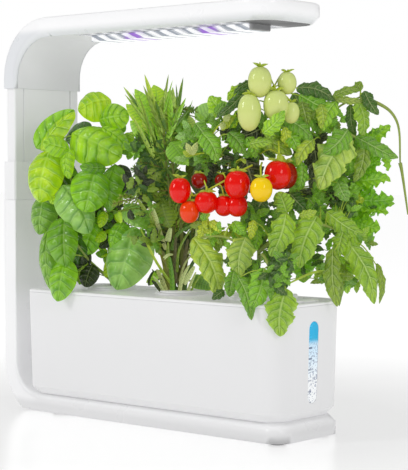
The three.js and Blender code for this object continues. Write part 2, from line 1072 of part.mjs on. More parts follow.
const gasketFace = wall + fit;
const flangeFace = gasketFace + gasketThick + fit;
const floatFace = flangeFace + windowThick + floatRibGap;
const windowSeat = windowHalf + windowFlange;

function buildTank() {
  const outside = plate(tankPlan, tankLayers(0, tankBottom, tankRim));
  const inside = plate(tankPlan, [
    [tankBottom + tankFloor, taperAt(tankBottom + tankFloor) + tankChamferIn + wall],
    [
      tankBottom + tankFloor + tankChamferUp,
      taperAt(tankBottom + tankFloor + tankChamferUp) + wall,
    ],
    [tankRim + over, wall],
  ]);
  const slot = onWindow(stadium(windowHalf + fit, windowRise + fit, -over * 2, wall * 2));
  const guides = [-1, 1].map((side) => {
    const inner = side * (windowSeat + fit);
    const outer = side * (windowSeat + fit + floatRibThick);
    return onWindow(
      box(
        -(floatFace + floatThick),
        -wall / 2,
        Math.min(inner, outer),
        Math.max(inner, outer),
        -windowRise,
        windowRise,
      ),
    );
  });
  return joined([outside.subtract(inside), ...guides]).subtract(slot);
}

const buildGasket = () =>
  onWindow(
    stadium(windowSeat, windowRise + windowFlange, gasketFace, gasketFace + gasketThick).subtract(
      stadium(windowHalf + fit * 2, windowRise + fit * 2, 0, gasketFace * 2),
    ),
  );

const buildWindow = () =>
  onWindow(
    joined([
      stadium(windowHalf, windowRise, fit, flangeFace + windowThick / 2),
      stadium(windowSeat, windowRise + windowFlange, flangeFace, flangeFace + windowThick),
    ]),
  );

const buildFloat = () =>
  onWindow(
    stadium(floatHalf, floatHeight / 2, floatFace, floatFace + floatThick).translate([
      0,
      0,
      windowRise - floatHeight / 2,
    ]),
  );

// Lid with its pod openings, fill opening and hatch

const podThree = podPlaces[2];
const hingeX = podThree + fillStart;
const hingeLevel = lidTop + fit + hingeRadius;
const fillLeft = hingeX + hingeRadius + fit;
const fillRight = fillLeft + fillLength;

const alongY = (x, level, radius, from, to, sides = smallSides) =>
  solid(
    new THREE.CylinderGeometry(radius, radius, to - from, sides).translate(0, (from + to) / 2, 0),
  ).translate([x, 0, level]);

function buildLid() {
  const sheet = plate(tankPlan, [
    [lidBottom, 0],
    [lidTop - lidRound, 0],
    [lidTop, lidRound],
  ]);
  const ribOuter = wall + taperAt(tankRim - lidRibDepth) + fit * 2;
  const rib = plate(tankPlan, [
    [lidBottom - lidRibDepth, ribOuter],
    [lidBottom + over, ribOuter],
  ]).subtract(
    plate(tankPlan, [
      [lidBottom - lidRibDepth - over, ribOuter + lidRibThick],
      [lidBottom + over * 2, ribOuter + lidRibThick],
    ]),
  );
  const lugs = [-1, 1].map((side) => {
    const inner = side * (hingeKnuckleHalf + fit);
    const outer = side * (hingeKnuckleHalf + fit + hingeLugWidth);
    const from = Math.min(inner, outer);
    const to = Math.max(inner, outer);
    return joined([
      alongY(hingeX, hingeLevel, hingeRadius, from, to),
      box(hingeX - hingeRadius, hingeX + hingeRadius, from, to, lidTop - over, hingeLevel),
    ]);
  });
  let lid = joined([sheet, rib.intersect(sheetBelow()), ...lugs]);
  for (const x of podPlaces) {
    lid = lid.subtract(
      post(x, 0, lidBottom - lidRibDepth * 2, lidTop + over, podOpening, roundSides),
    );
  }
  return lid
    .subtract(
      box(fillLeft, fillRight, -fillHalf, fillHalf, lidBottom - lidRibDepth * 2, lidTop + over),
    )
    .subtract(
      alongY(
        hingeX,
        hingeLevel,
        hingePinRadius + fit,
        -(hingeKnuckleHalf + hingeLugWidth * 2),
        hingeKnuckleHalf + hingeLugWidth * 2,
      ),
    );
}

// The lid's locating rib stays clear of the window and its float
const sheetBelow = () =>
  box(
    tankLeft,
    windowPlace.x - floatFace - floatThick * 2,
    -tankHalf,
    tankHalf,
    lidBottom - lidRibDepth * 2,
    lidTop,
  );

const hatchBottom = lidTop + fit;
const hatchLevel = hatchBottom + hatchThick;

function buildHatch() {
  const plateBody = plate(
    {
      left: hingeX,
      right: fillRight + hatchMargin,
      half: fillHalf + hatchMargin,
      leftRadius: leastRadius,
      rightRadius: hatchMargin,
    },
    [
      [hatchBottom, 0],
      [hatchLevel - lidRound, 0],
      [hatchLevel, lidRound],
    ],
  );
  const tab = box(
    fillRight,
    fillRight + hatchMargin + hatchTab,
    -fillHalf / 2,
    fillHalf / 2,
    hatchBottom + fit,
    hatchLevel - lidRound,
  );
  const notches = [-1, 1].map((side) => {
    const inner = side * hingeKnuckleHalf;
    const outer = side * (fillHalf + hatchMargin + over);
    return box(
      hingeX - hingeRadius * 2,
      hingeX + hingeRadius + fit,
      Math.min(inner, outer),
      Math.max(inner, outer),
      hatchBottom - over,
      hatchLevel + over,
    );
  });
  const knuckle = alongY(hingeX, hingeLevel, hingeRadius, -hingeKnuckleHalf, hingeKnuckleHalf);
  const web = box(
    hingeX,
    hingeX + hingeRadius * 2,
    -hingeKnuckleHalf,
    hingeKnuckleHalf,
    hatchBottom,
    hatchLevel,
  );
  let hatch = joined([plateBody, tab]);
  for (const notch of notches) hatch = hatch.subtract(notch);
  return joined([hatch, knuckle, web]).subtract(
    alongY(hingeX, hingeLevel, hingePinRadius + fit, -hingeKnuckleHalf * 2, hingeKnuckleHalf * 2),
  );
}

const buildHingePin = () =>
  alongY(
    hingeX,
    hingeLevel,
    hingePinRadius,
    -(hingeKnuckleHalf + fit + hingeLugWidth),
    hingeKnuckleHalf + fit + hingeLugWidth,
  );

// Pods

const flangeBottom = lidTop + fit;
const flangeTop = flangeBottom + basketFlangeThick;
const basketBottom = flangeBottom - basketDepth;
const basketInnerAt = (level) => {
  const share = (flangeBottom - level) / basketDepth;
  return basketRadius - basketWall - share * (basketRadius - basketFootRadius);
};

function buildBasket(x) {
  const shell = turned([
    [basketDrainRadius, basketBottom],
    [basketFootRadius, basketBottom],
    [basketRadius, flangeBottom],
    [podOpening + basketFlange, flangeBottom],
    [podOpening + basketFlange, flangeTop],
    [basketInnerAt(flangeTop), flangeTop],
    [basketInnerAt(basketBottom + basketWall), basketBottom + basketWall],
    [basketDrainRadius, basketBottom + basketWall],
    [basketDrainRadius, basketBottom],
  ]);
  let basket = shell;
  for (let slot = 0; slot < basketSlots; slot += 1) {
    const cut = box(
      -podOpening * 2,
      podOpening * 2,
      -basketSlotWidth / 2,
      basketSlotWidth / 2,
      basketBottom + basketSlotFoot,
      basketBottom + basketSlotFoot + basketSlotHeight,
    ).rotate([0, 0, (slot * 180) / basketSlots]);
    basket = basket.subtract(cut);
  }
  return basket.translate([x, 0, 0]);
}

const collarBottom = flangeTop + fit;
const collarLevel = collarBottom + collarThick;
const spongeTop = flangeTop - collarSpigot - fit;
const spongeBottom = basketBottom + basketWall + fit;

function buildSponge(x) {
  return turned([
    [0, spongeBottom],
    [basketInnerAt(spongeBottom) - fit, spongeBottom],
    [basketInnerAt(spongeTop) - fit, spongeTop],
    [rootRadius + fit, spongeTop],
    [rootRadius + fit, spongeTop - rootDepth],
    [0, spongeTop - rootDepth],
  ]).translate([x, 0, 0]);
}

function buildPlantingCollar(x) {
  const spigot = basketInnerAt(flangeTop - collarSpigot) - fit;
  return turned([
    [collarHoleRadius, flangeTop - collarSpigot],
    [spigot, flangeTop - collarSpigot],
    [spigot, collarBottom],
    [podOpening + collarReach, collarBottom],
    [podOpening + collarReach - collarThick / 2, collarLevel],
    [collarHoleRadius, collarLevel],
    [collarHoleRadius, flangeTop - collarSpigot],
  ]).translate([x, 0, 0]);
}

// Plants

const turnAngle = THREE.MathUtils.degToRad(plantTurn);
const rightward = new THREE.Vector3(Math.cos(turnAngle), Math.sin(turnAngle), 0);
const backward = new THREE.Vector3(-Math.sin(turnAngle), Math.cos(turnAngle), 0);
const leafFace = new THREE.Vector3(0, 0, leafPull).sub(backward).normalize();

// A place in a plant's frame, from shares of the plant's spread and height
const plantPoint = ({ pod, height, spread }) => (right, up, back) =>
  new THREE.Vector3(podPlaces[pod], 0, lidTop)
    .addScaledVector(rightward, right * spread)
    .addScaledVector(backward, back * spread)
    .add(new THREE.Vector3(0, 0, up * height));

const ringFlat = (sides) =>
  Array.from({ length: sides }, (_, side) => {
    const angle = (side / sides) * Math.PI * 2;
    return flatPoint(Math.cos(angle), Math.sin(angle));
  });

// A round stalk along a row of points, tapering from its first radius to its last
function stalk(points, firstRadius, lastRadius, sides = stalkSides) {
  const flat = ringFlat(sides);
  const rings = points.map((point, place) => {
    const before = points[Math.max(place - 1, 0)];
    const after = points[Math.min(place + 1, points.length - 1)];
    const along = after.clone().sub(before).normalize();
    const side = along.clone().cross(leafFace).normalize();
    const upper = side.clone().cross(along);
    const share = place / (points.length - 1);
    const radius = firstRadius + share * (lastRadius - firstRadius);
    return flat.map((p) =>
      point
        .clone()
        .addScaledVector(side, p.x * radius)
        .addScaledVector(upper, p.y * radius),
    );
  });
  return loft(rings, flat);
}

// A leaf's stations from its base to its tip: share along, share of the width, share of the dome
const leafShares = [
  [0, 0.14, 0],
  [0.28, 0.94, 0.8],
  [0.7, 0.86, 0.84],
  [1, 0.08, 0],
];
const domeShare = 0.11;
const petioleShare = 0.2;

// A leaf: a thin blade, domed towards its face, with its petiole's place inside the blade
function leaf(base, tip, width) {
  const along = tip.clone().sub(base);
  const length = along.length();
  const across = along.clone().cross(leafFace).normalize();
  const out = across.clone().cross(along).normalize();
  const centres = leafShares.map(([share, , dome]) =>
    base
      .clone()
      .addScaledVector(along, share)
      .addScaledVector(out, dome * domeShare * length),
  );
  const rings = leafShares.map(([, spread], place) => {
    const half = Math.max((width / 2) * spread, bladeHalf);
    return [
      centres[place].clone().addScaledVector(across, half),
      centres[place].clone().addScaledVector(out, bladeHalf),
      centres[place].clone().addScaledVector(across, -half),
      centres[place].clone().addScaledVector(out, -bladeHalf),
    ];
  });
  const inside = centres[0].clone().lerp(centres[1], petioleShare);
  return { blade: loft(rings, ringFlat(4)), inside };
}

// A needle: a slim three-sided spike
function needle(base, tip) {
  const along = tip.clone().sub(base).normalize();
  const side = along.clone().cross(leafFace).normalize();
  const upper = side.clone().cross(along);
  const start = ringFlat(3).map((p) =>
    base
      .clone()
      .addScaledVector(side, p.x * needleRadius)
      .addScaledVector(upper, p.y * needleRadius),
  );
  const points = [...start, tip.clone()];
  const geometry = new THREE.BufferGeometry().setFromPoints(points);
  const [a, b, c] = points;
  const facesTip = b.clone().sub(a).cross(c.clone().sub(a)).dot(along) > 0;
  const faces = [
    [0, 2, 1],
    [0, 1, 3],
    [1, 2, 3],
    [2, 0, 3],
  ];
  geometry.setIndex(faces.flatMap(([p, q, r]) => (facesTip ? [p, q, r] : [p, r, q])));
  return solid(geometry);
}

// Points spread along every stem, for the leaves to grow from
const stemSamples = (stems) =>
  stems.flatMap((points) =>
    points.slice(1).flatMap((end, place) =>
      Array.from({ length: stalkSamples }, (_, step) =>
        points[place].clone().lerp(end, step / stalkSamples),
      ).concat([end]),
    ),
  );

// The nearest place on a stem that something can grow from, lower places first
function growthPoint(samples, base) {
  const reach = (point) => point.distanceTo(base) + Math.max(point.z - base.z, 0) * 2;
  return samples.reduce((best, point) => (reach(point) < reach(best) ? point : best));
}

// A leaf with its petiole
function grownLeaf(samples, base, tip, width) {
  const { blade, inside } = leaf(base, tip, width);
  const origin = growthPoint(samples, base);
  return [blade, stalk([origin, inside], petioleRadius, petioleTip, petioleSides)];
}

// A plug that holds a plant in its sponge
const rootPlug = (pod) =>
  post(
    podPlaces[pod],
    0,
    spongeTop - rootDepth + fit,
    lidTop + plugRise,
    rootRadius - fit,
    smallSides,
    rootRadius - plugTaper,
  );

// Basil in pod 1. Shares of its spread and height: base right, up, back; tip right, up, back; width
const basilStemShares = [
  [[0, 0, 0], [-0.02, 0.25, -0.02], [-0.06, 0.5, -0.04], [-0.05, 0.72, -0.03], [-0.02, 0.86, 0]],
  [[-0.02, 0.25, -0.02], [-0.14, 0.4, -0.05], [-0.22, 0.6, -0.05], [-0.28, 0.69, -0.04]],
  [[0, 0.04, 0], [-0.12, 0.16, -0.1], [-0.22, 0.32, -0.13]],
  [[-0.01, 0.1, 0], [0.06, 0.22, -0.08], [0.09, 0.36, -0.1]],
];
const basilLeafShares = [
  [0, 0.75, 0.08, -0.12, 0.7, 0.2, 0.15],
  [0, 0.6, 0.06, 0.03, 0.5, 0.16, 0.1],
  [-0.15, 0.4, 0.06, -0.2, 0.28, 0.2, 0.15],
  [-0.05, 0.35, 0.05, -0.02, 0.2, 0.2, 0.14],
  [-0.2, 0.62, 0.04, -0.33, 0.5, 0.1, 0.16],
  [-0.1, 0.8, 0.05, -0.24, 0.74, 0.1, 0.14],
  [0.04, 0.62, 0, 0.05, 0.46, 0, 0.12],
  [-0.13, 0.5, -0.02, -0.16, 0.32, -0.04, 0.2],
  [-0.08, 0.33, -0.05, -0.13, 0.17, -0.08, 0.13],
  [-0.17, 0.3, -0.06, -0.2, 0.08, -0.1, 0.15],
  [0.025, 0.79, -0.06, -0.01, 0.91, -0.06, 0.15],
  [-0.06, 0.84, -0.05, 0.09, 0.855, -0.1, 0.14],
  [-0.005, 0.94, 0, -0.165, 0.885, -0.04, 0.19],
  [-0.045, 0.805, -0.08, 0.085, 0.7, -0.08, 0.11],
  [-0.375, 0.7, -0.03, -0.185, 0.89, -0.03, 0.13],
  [-0.35, 0.69, -0.05, -0.18, 0.88, -0.06, 0.11],
  [-0.33, 0.475, -0.07, -0.355, 0.275, -0.09, 0.15],
  [-0.31, 0.3, -0.1, -0.29, 0, -0.14, 0.1],
  [-0.09, 0.13, -0.1, -0.125, 0.02, -0.14, 0.1],
  [-0.02, 0.6, -0.15, -0.145, 0.61, -0.2, 0.07],
  [0.02, 0.62, -0.1, -0.01, 0.39, -0.15, 0.14],
  [-0.07, 0.6, -0.16, -0.12, 0.39, -0.22, 0.2],
  [-0.235, 0.52, -0.12, -0.1, 0.285, -0.17, 0.19],
  [-0.225, 0.365, -0.16, -0.215, 0.12, -0.21, 0.155],
  [-0.22, 0.165, -0.17, -0.255, -0.045, -0.21, 0.14],
  [0.07, 0.425, -0.1, 0.19, 0.32, -0.14, 0.13],
  [0.06, 0.34, -0.13, 0.01, 0.2, -0.15, 0.12],
  [0.12, 0.315, -0.14, 0.03, 0.01, -0.18, 0.235],
  [-0.19, 0.775, -0.1, 0.055, 0.655, -0.14, 0.215],
  [-0.3, 0.69, -0.1, -0.345, 0.435, -0.14, 0.19],
  [-0.2, 0.695, -0.14, -0.325, 0.73, -0.17, 0.1],
  [-0.205, 0.7, -0.14, -0.2, 0.55, -0.18, 0.075],
];

const stemPoints = (shares, at) => shares.map((row) => row.map((share) => at(...share)));

function leafBodies(rows, samples, at, spread) {
  return rows.flatMap(([right, up, back, tipRight, tipUp, tipBack, width]) =>
    grownLeaf(samples, at(right, up, back), at(tipRight, tipUp, tipBack), width * spread),
  );
}

function buildBasil() {
  const at = plantPoint(basilSize);
  const stems = stemPoints(basilStemShares, at);
  return joined([
    rootPlug(0),
    ...stems.map((points) => stalk(points, rootRadius / 2, petioleRadius)),
    ...leafBodies(basilLeafShares, stemSamples(stems), at, basilSpread),
  ]);
}

// Rosemary in pod 2: woody stems, long blades at the top and needled sprigs
const rosemaryStemShares = [
  [[0, 0, 0], [-0.05, 0.2, 0], [-0.09, 0.42, 0.02], [-0.12, 0.7, 0.06]],
  [[0, 0, 0], [-0.035, 0.25, 0], [-0.055, 0.48, 0], [-0.08, 0.71, 0.04]],
  [[0, 0, 0], [0, 0.3, 0], [-0.03, 0.5, 0], [-0.05, 0.72, 0.03], [-0.03, 0.84, 0.04]],
  [[0, 0, 0], [0.03, 0.2, 0.03], [0.06, 0.32, 0.05], [0.09, 0.42, 0.07]],
  [[0, 0, 0], [-0.07, 0.07, -0.03], [-0.12, 0.095, -0.04]],
  [[0, 0, 0], [0.03, 0.1, -0.01], [0.06, 0.16, 0]],
];
const rosemaryLeafShares = [
  [-0.11, 0.72, 0.1, -0.28, 0.957, 0.34, 0.02],
  [-0.115, 0.7, 0.08, -0.235, 0.84, 0.2, 0.024],
  [-0.075, 0.68, 0.05, -0.17, 1, 0.09, 0.026],
  [-0.045, 0.72, 0.04, -0.04, 0.94, 0.06, 0.032],
  [-0.02, 0.8, 0.04, 0.007, 0.985, 0.06, 0.012],
  [-0.07, 0.69, 0.03, 0.02, 0.89, 0.02, 0.022],
  [-0.135, 0.7, 0.1, -0.225, 0.75, 0.17, 0.022],
  [-0.13, 0.8, 0.14, -0.22, 0.94, 0.21, 0.07],
  [-0.1, 0.84, 0.12, -0.13, 0.955, 0.14, 0.09],
  [-0.13, 0.72, 0.13, -0.2, 0.88, 0.24, 0.07],
  [-0.08, 0.8, 0.1, -0.05, 0.93, 0.12, 0.09],
  [0.06, 0.8, 0.14, 0.18, 0.86, 0.16, 0.1],
  [-0.09, 0.43, 0.01, -0.05, 0.3, -0.02, 0.12],
  [-0.05, 0.69, 0.01, 0.02, 0.585, -0.02, 0.11],
  [-0.1, 0.59, 0.02, -0.13, 0.49, 0, 0.1],
  [-0.11, 0.64, 0.04, -0.2, 0.52, 0.02, 0.1],
  [-0.02, 0.57, 0.02, -0.05, 0.43, 0.02, 0.12],
  [0, 0.42, 0.03, 0.02, 0.28, 0.03, 0.12],
  [-0.1, 0.4, 0.03, -0.13, 0.24, 0.03, 0.12],
  [0.04, 0.06, 0, 0.145, 0.03, -0.02, 0.06],
  [-0.1, 0.1, -0.03, -0.15, 0.04, -0.04, 0.035],
];
const sprigShares = [
  [-0.05, 0.45, 0, -0.31, 0.41, 0],
  [-0.06, 0.62, 0.02, -0.22, 0.66, 0.06],
  [-0.06, 0.56, 0.01, -0.19, 0.6, 0.02],
  [-0.044, 0.66, 0.022, 0.03, 0.6, 0.02],
  [-0.03, 0.835, 0.04, 0.06, 0.835, 0.05],
  [0, 0.3, 0, 0.05, 0.37, 0.02],
];
const needlePairs = 3;
const needleLeanShares = [0.55, 0.8];

// A sprig: a thin stalk with needles leaning forward in pairs
function sprig(start, end) {
  const along = end.clone().sub(start).normalize();
  const side = along.clone().cross(leafFace).normalize();
  const upper = side.clone().cross(along);
  const spikes = Array.from({ length: needlePairs * 2 }, (_, place) => {
    const share = (Math.floor(place / 2) + 1) / (needlePairs + 1);
    const sense = place % 2 ? 1 : -1;
    const [sideLean, upLean] = needleLeanShares;
    const base = start.clone().lerp(end, share);
    const tip = base
      .clone()
      .addScaledVector(along, rosemaryNeedleLength * sideLean)
      .addScaledVector(side, sense * rosemaryNeedleLength * upLean)
      .addScaledVector(upper, (place % 4 < 2 ? 1 : -1) * rosemaryNeedleLength * sideLean);
    return needle(base, tip);
  });
  return [stalk([start, end], petioleRadius, petioleTip, petioleSides), ...spikes];
}

function buildRosemary() {
  const at = plantPoint(rosemarySize);
  const stems = stemPoints(rosemaryStemShares, at);
  const sprigs = sprigShares.flatMap(([right, up, back, tipRight, tipUp, tipBack]) =>
    sprig(at(right, up, back), at(tipRight, tipUp, tipBack)),
  );
  return joined([
    rootPlug(1),
    ...stems.map((points) => stalk(points, rootRadius / 2, petioleRadius)),
    ...leafBodies(rosemaryLeafShares, stemSamples(stems), at, rosemarySpread),
    ...sprigs,
  ]);
}

// Tomato in pod 3, leaning out over the free end
const tomatoStemShares = [
  [[0, 0, 0], [0.01, 0.2, 0], [0, 0.45, 0.04], [0.02, 0.7, 0.03], [0.06, 0.9, 0.04]],
  [[0.01, 0.2, 0], [0.12, 0.42, 0.02], [0.25, 0.62, 0.02], [0.33, 0.8, 0.02], [0.44, 0.86, 0.01]],
  [[0.01, 0.2, 0], [0.06, 0.25, -0.1], [0.2, 0.33, -0.12], [0.33, 0.3, -0.1], [0.39, 0.26, -0.1]],
  [[0, 0.45, 0.04], [-0.1, 0.56, 0.02], [-0.2, 0.68, 0.01]],
  [[0.0075, 0.15, 0], [0.02, 0.2, -0.18], [0.05, 0.14, -0.28], [0.1, 0.08, -0.33]],
  [[0.005, 0.1, 0], [-0.06, 0.22, -0.12], [-0.14, 0.27, -0.1], [-0.25, 0.265, -0.07]],
  [[0.25, 0.62, 0.02], [0.36, 0.7, -0.02], [0.44, 0.68, -0.01], [0.54, 0.655, 0], [0.6, 0.6, 0]],
  [[0.44, 0.86, 0.01], [0.52, 0.83, 0], [0.575, 0.79, 0], [0.605, 0.72, 0], [0.61, 0.58, 0]],
  [[0.61, 0.58, 0], [0.62, 0.53, 0], [0.645, 0.36, 0]],
];
const tomatoLeafShares = [
  [-0.05, 0.6, 0.01, 0, 0.45, 0, 0.14],
  [-0.2, 0.6, 0.03, -0.22, 0.46, 0.02, 0.11],
  [0.16, 0.46, 0.04, 0.24, 0.36, 0, 0.13],
  [0.17, 0.72, 0, 0.24, 0.6, -0.01, 0.1],
  [0, 0.7, 0.02, 0.15, 0.62, -0.02, 0.1],
  [0.05, 0.745, 0.03, -0.07, 0.69, 0, 0.1],
  [-0.02, 0.84, 0.02, -0.05, 0.7, 0.02, 0.1],
  [-0.16, 0.6, 0.06, -0.28, 0.5, 0.06, 0.12],
  [0.03, 0.43, 0.01, -0.02, 0.27, 0, 0.13],
  [0.09, 0.3, -0.02, 0.06, 0.17, -0.05, 0.1],
  [0.23, 0.7, 0, 0.235, 0.46, -0.01, 0.09],
  [0.22, 0.43, -0.02, 0.3, 0.35, -0.04, 0.1],
  [0.31, 0.47, 0, 0.39, 0.39, -0.02, 0.1],
  [-0.03, 0.9, -0.02, -0.17, 0.77, -0.05, 0.06],
  [-0.05, 0.91, 0.05, -0.125, 0.85, 0.02, 0.06],
  [-0.13, 0.79, 0.07, -0.2, 0.865, 0.06, 0.1],
  [-0.26, 0.75, 0.02, -0.19, 0.67, 0, 0.09],
  [-0.235, 0.71, 0, -0.165, 0.59, -0.04, 0.11],
  [0.02, 0.7, -0.155, 0.105, 0.79, -0.215, 0.08],
  [-0.035, 0.655, -0.1, 0.055, 0.67, -0.14, 0.06],
  [-0.12, 0.71, -0.02, -0.05, 0.62, -0.06, 0.09],
  [0.24, 0.68, -0.04, 0.165, 0.575, -0.08, 0.08],
  [0.12, 0.77, -0.03, 0.24, 0.68, -0.05, 0.1],
  [0.16, 0.88, 0.06, 0.24, 0.75, 0.02, 0.09],
  [0.17, 0.9, 0.04, 0.33, 0.85, -0.02, 0.09],
  [0.18, 0.87, 0.03, 0.32, 0.8, -0.01, 0.1],
  [0.19, 0.84, 0, 0.215, 0.745, -0.02, 0.09],
  [0.335, 0.84, 0, 0.275, 0.72, -0.03, 0.09],
  [0.32, 0.86, 0, 0.45, 0.9, 0, 0.05],
  [0.43, 0.84, 0, 0.457, 0.685, -0.02, 0.1],
  [0.455, 0.885, 0, 0.515, 0.785, -0.02, 0.07],
  [0.455, 0.67, -0.02, 0.415, 0.5, -0.04, 0.08],
  [0.415, 0.69, -0.02, 0.6, 0.6, -0.02, 0.085],
  [0.385, 0.7, -0.06, 0.255, 0.475, -0.1, 0.18],
  [0.38, 0.72, -0.08, 0.28, 0.62, -0.12, 0.12],
  [0.29, 0.375, -0.09, 0.44, 0.28, -0.12, 0.1],
  [0.41, 0.285, -0.1, 0.31, 0.2, -0.14, 0.1],
  [0.37, 0.26, -0.12, 0.5, -0.005, -0.14, 0.13],
  [0.31, 0.225, -0.17, 0.33, -0.015, -0.2, 0.09],
  [0.345, 0.19, -0.06, 0.385, 0.03, -0.08, 0.09],
  [0.205, 0.185, 0.07, 0.2, 0.065, 0.06, 0.12],
  [0.12, 0.37, -0.17, 0.085, 0.46, -0.16, 0.1],
  [0.115, 0.365, -0.18, 0.05, 0.195, -0.22, 0.13],
  [0.245, 0.355, -0.16, 0.165, 0.14, -0.21, 0.16],
  [-0.1, 0.13, -0.18, -0.12, 0.03, -0.22, 0.08],
  [0.02, 0.15, -0.27, -0.03, -0.01, -0.34, 0.12],
  [-0.05, 0.27, -0.14, -0.08, 0.115, -0.19, 0.14],
  [-0.09, 0.12, -0.25, -0.03, -0.05, -0.35, 0.08],
  [0.05, 0.155, -0.28, 0.11, 0.075, -0.34, 0.12],
  [0.11, 0.07, -0.34, 0.08, -0.12, -0.37, 0.15],
  [-0.27, 0.265, -0.07, -0.155, 0.02, -0.11, 0.14],
];

// Fruit trusses: the stalk's places, then each fruit's right, up, back, half width, half height
const fruitTrusses = {
  green: {
    stalk: [[0.065, 0.9, -0.03], [0.07, 0.9, -0.09], [0.06, 0.86, -0.13]],
    fruits: [
      [0.008, 0.917, -0.13, 0.051, 0.067],
      [-0.036, 0.79, -0.14, 0.051, 0.08],
      [0.075, 0.82, -0.13, 0.054, 0.066],
      [0.14, 0.79, -0.11, 0.036, 0.047],
      [0.123, 0.913, -0.1, 0.041, 0.049],
    ],
  },
  redLeft: {
    stalk: [[-0.02, 0.57, -0.05], [-0.08, 0.54, -0.08], [-0.18, 0.48, -0.07], [-0.26, 0.44, -0.07]],
    fruits: [
      [-0.325, 0.465, -0.08, 0.047, 0.056],
      [-0.245, 0.505, -0.03, 0.035, 0.035],
      [-0.285, 0.375, -0.08, 0.043, 0.049],
      [-0.215, 0.415, -0.09, 0.051, 0.049],
      [-0.085, 0.49, -0.11, 0.056, 0.062],
      [-0.14, 0.4, -0.08, 0.042, 0.046],
      [-0.085, 0.4, -0.09, 0.045, 0.048],
      [-0.15, 0.505, -0.03, 0.03, 0.03],
    ],
  },
  redRight: {
    stalk: [[0.09, 0.67, -0.05], [0.09, 0.64, -0.09], [0.09, 0.57, -0.1]],
    fruits: [
      [0.085, 0.53, -0.1, 0.058, 0.064],
      [0.12, 0.528, -0.05, 0.052, 0.06],
    ],
  },
  yellow: {
    stalk: [[0.02, 0.58, -0.06], [0.012, 0.56, -0.14], [0.012, 0.5, -0.2]],
    fruits: [[0.012, 0.47, -0.2, 0.048, 0.053]],
  },
};

// A truss of fruit, with every surface moved out by a gap
function fruitTruss({ stalk: places, fruits }, gap) {
  const at = plantPoint(tomatoSize);
  const points = places.map((share) => at(...share));
  const samples = stemSamples([points]);
  const bodies = fruits.flatMap(([right, up, back, wide, tall]) => {
    const centre = at(right, up, back);
    const halfWide = wide * tomatoSpread + gap;
    const halfTall = tall * tomatoSpread + gap;
    const berry = new THREE.IcosahedronGeometry(1, 1)
      .scale(halfWide, halfWide, halfTall)
      .translate(centre.x, centre.y, centre.z);
    const nearest = samples.reduce((best, point) =>
      point.distanceTo(centre) < best.distanceTo(centre) ? point : best,
    );
    return [solid(berry), stalk([nearest, centre], fruitStalk + gap, fruitStalk + gap)];
  });
  return joined([stalk(points, fruitStalk + gap, fruitStalk + gap), ...bodies]);
}

function buildTomato() {
  const at = plantPoint(tomatoSize);
  const stems = stemPoints(tomatoStemShares, at);
  const samples = stemSamples(stems);
  const peduncles = Object.values(fruitTrusses).map((truss) => {
    const end = at(...truss.stalk[0]);
    return stalk([growthPoint(samples, end), end], petioleRadius, petioleRadius);
  });
  const plant = joined([
    rootPlug(2),
    ...stems.map((points) => stalk(points, rootRadius / 2, petioleRadius)),
    ...peduncles,
    ...leafBodies(tomatoLeafShares, samples, at, tomatoSpread),
  ]);
  return Object.values(fruitTrusses).reduce(
    (body, truss) => body.subtract(fruitTruss(truss, fit)),
    plant,
  );
}

// Salad greens beside the tomato in pod 3
const greensStemShares = [
  [[0.1, 0.12, 0.1], [0.2, 0.25, 0.14], [0.3, 0.38, 0.13], [0.37, 0.48, 0.11]],
  [[0.1, 0.12, 0.1], [0.24, 0.22, 0.15], [0.35, 0.3, 0.13], [0.4, 0.34, 0.1]],
  [[0.37, 0.48, 0.11], [0.42, 0.58, 0.1], [0.45, 0.63, 0.08]],
];
const greensLeafShares = [
  [0.38, 0.48, 0.08, 0.555, 0.515, 0.05, 0.08],
  [0.39, 0.43, 0.08, 0.585, 0.43, 0.05, 0.08],
  [0.4, 0.38, 0.07, 0.56, 0.37, 0.03, 0.09],
  [0.4, 0.34, 0.06, 0.52, 0.31, 0.03, 0.09],
  [0.4, 0.51, 0.08, 0.5, 0.57, 0.06, 0.07],
  [0.33, 0.41, 0.05, 0.46, 0.42, 0.03, 0.1],
  [0.32, 0.36, 0.05, 0.42, 0.3, 0.01, 0.1],
  [0.42, 0.32, 0.08, 0.5, 0.25, 0.05, 0.08],
  [0.45, 0.63, 0.07, 0.575, 0.72, 0.06, 0.08],
  [0.36, 0.5, 0.11, 0.46, 0.36, 0.11, 0.13],
  [0.35, 0.35, 0.11, 0.45, 0.27, 0.1, 0.1],
  [0.42, 0.57, 0.11, 0.51, 0.61, 0.1, 0.09],
];

function buildGreens() {
  const at = plantPoint(tomatoSize);
  const away = backward.clone().multiplyScalar(greensPlugAway);
  const foot = new THREE.Vector3(podPlaces[2], 0, lidTop + greensPlugRise).add(away);
  const plug = post(
    foot.x,
    foot.y,
    spongeTop + fit,
    lidTop + greensPlugRise,
    greensPlugRadius,
    smallSides,
    petioleRadius * 2,
  );
  const stems = stemPoints(greensStemShares, at);
  const risers = stems
    .slice(0, 2)
    .map((points) => stalk([foot, points[0]], petioleRadius * 2, petioleRadius * 2));
  return joined([
    plug,
    ...risers,
    ...stems.map((points) => stalk(points, petioleRadius * 2, petioleRadius)),
    ...leafBodies(greensLeafShares, stemSamples(stems), at, tomatoSpread),
  ]);
}

// The whole garden

const garden = new THREE.Group();
const add = (name, body, material) => garden.add(piece(name, body, material));

add('base_shell', buildBaseShell(), glossWhite);
add('bottom_cover', buildBottomCover(), satinWhite);
footPlaces.forEach((place, number) => add(`foot_${number + 1}`, buildFoot(place), darkRubber));
screwPlaces.forEach((place, number) =>
  add(`cover_screw_${number + 1}`, buildCoverScrew(place), steel),
);
add('power_inlet', buildInlet(), blackPlastic);
add('inlet_board', buildInletBoard(), circuitGreen);
add('contact_strip', buildContactStrip(), circuitGreen);
add('column_collar', buildCollar(), glossWhite);

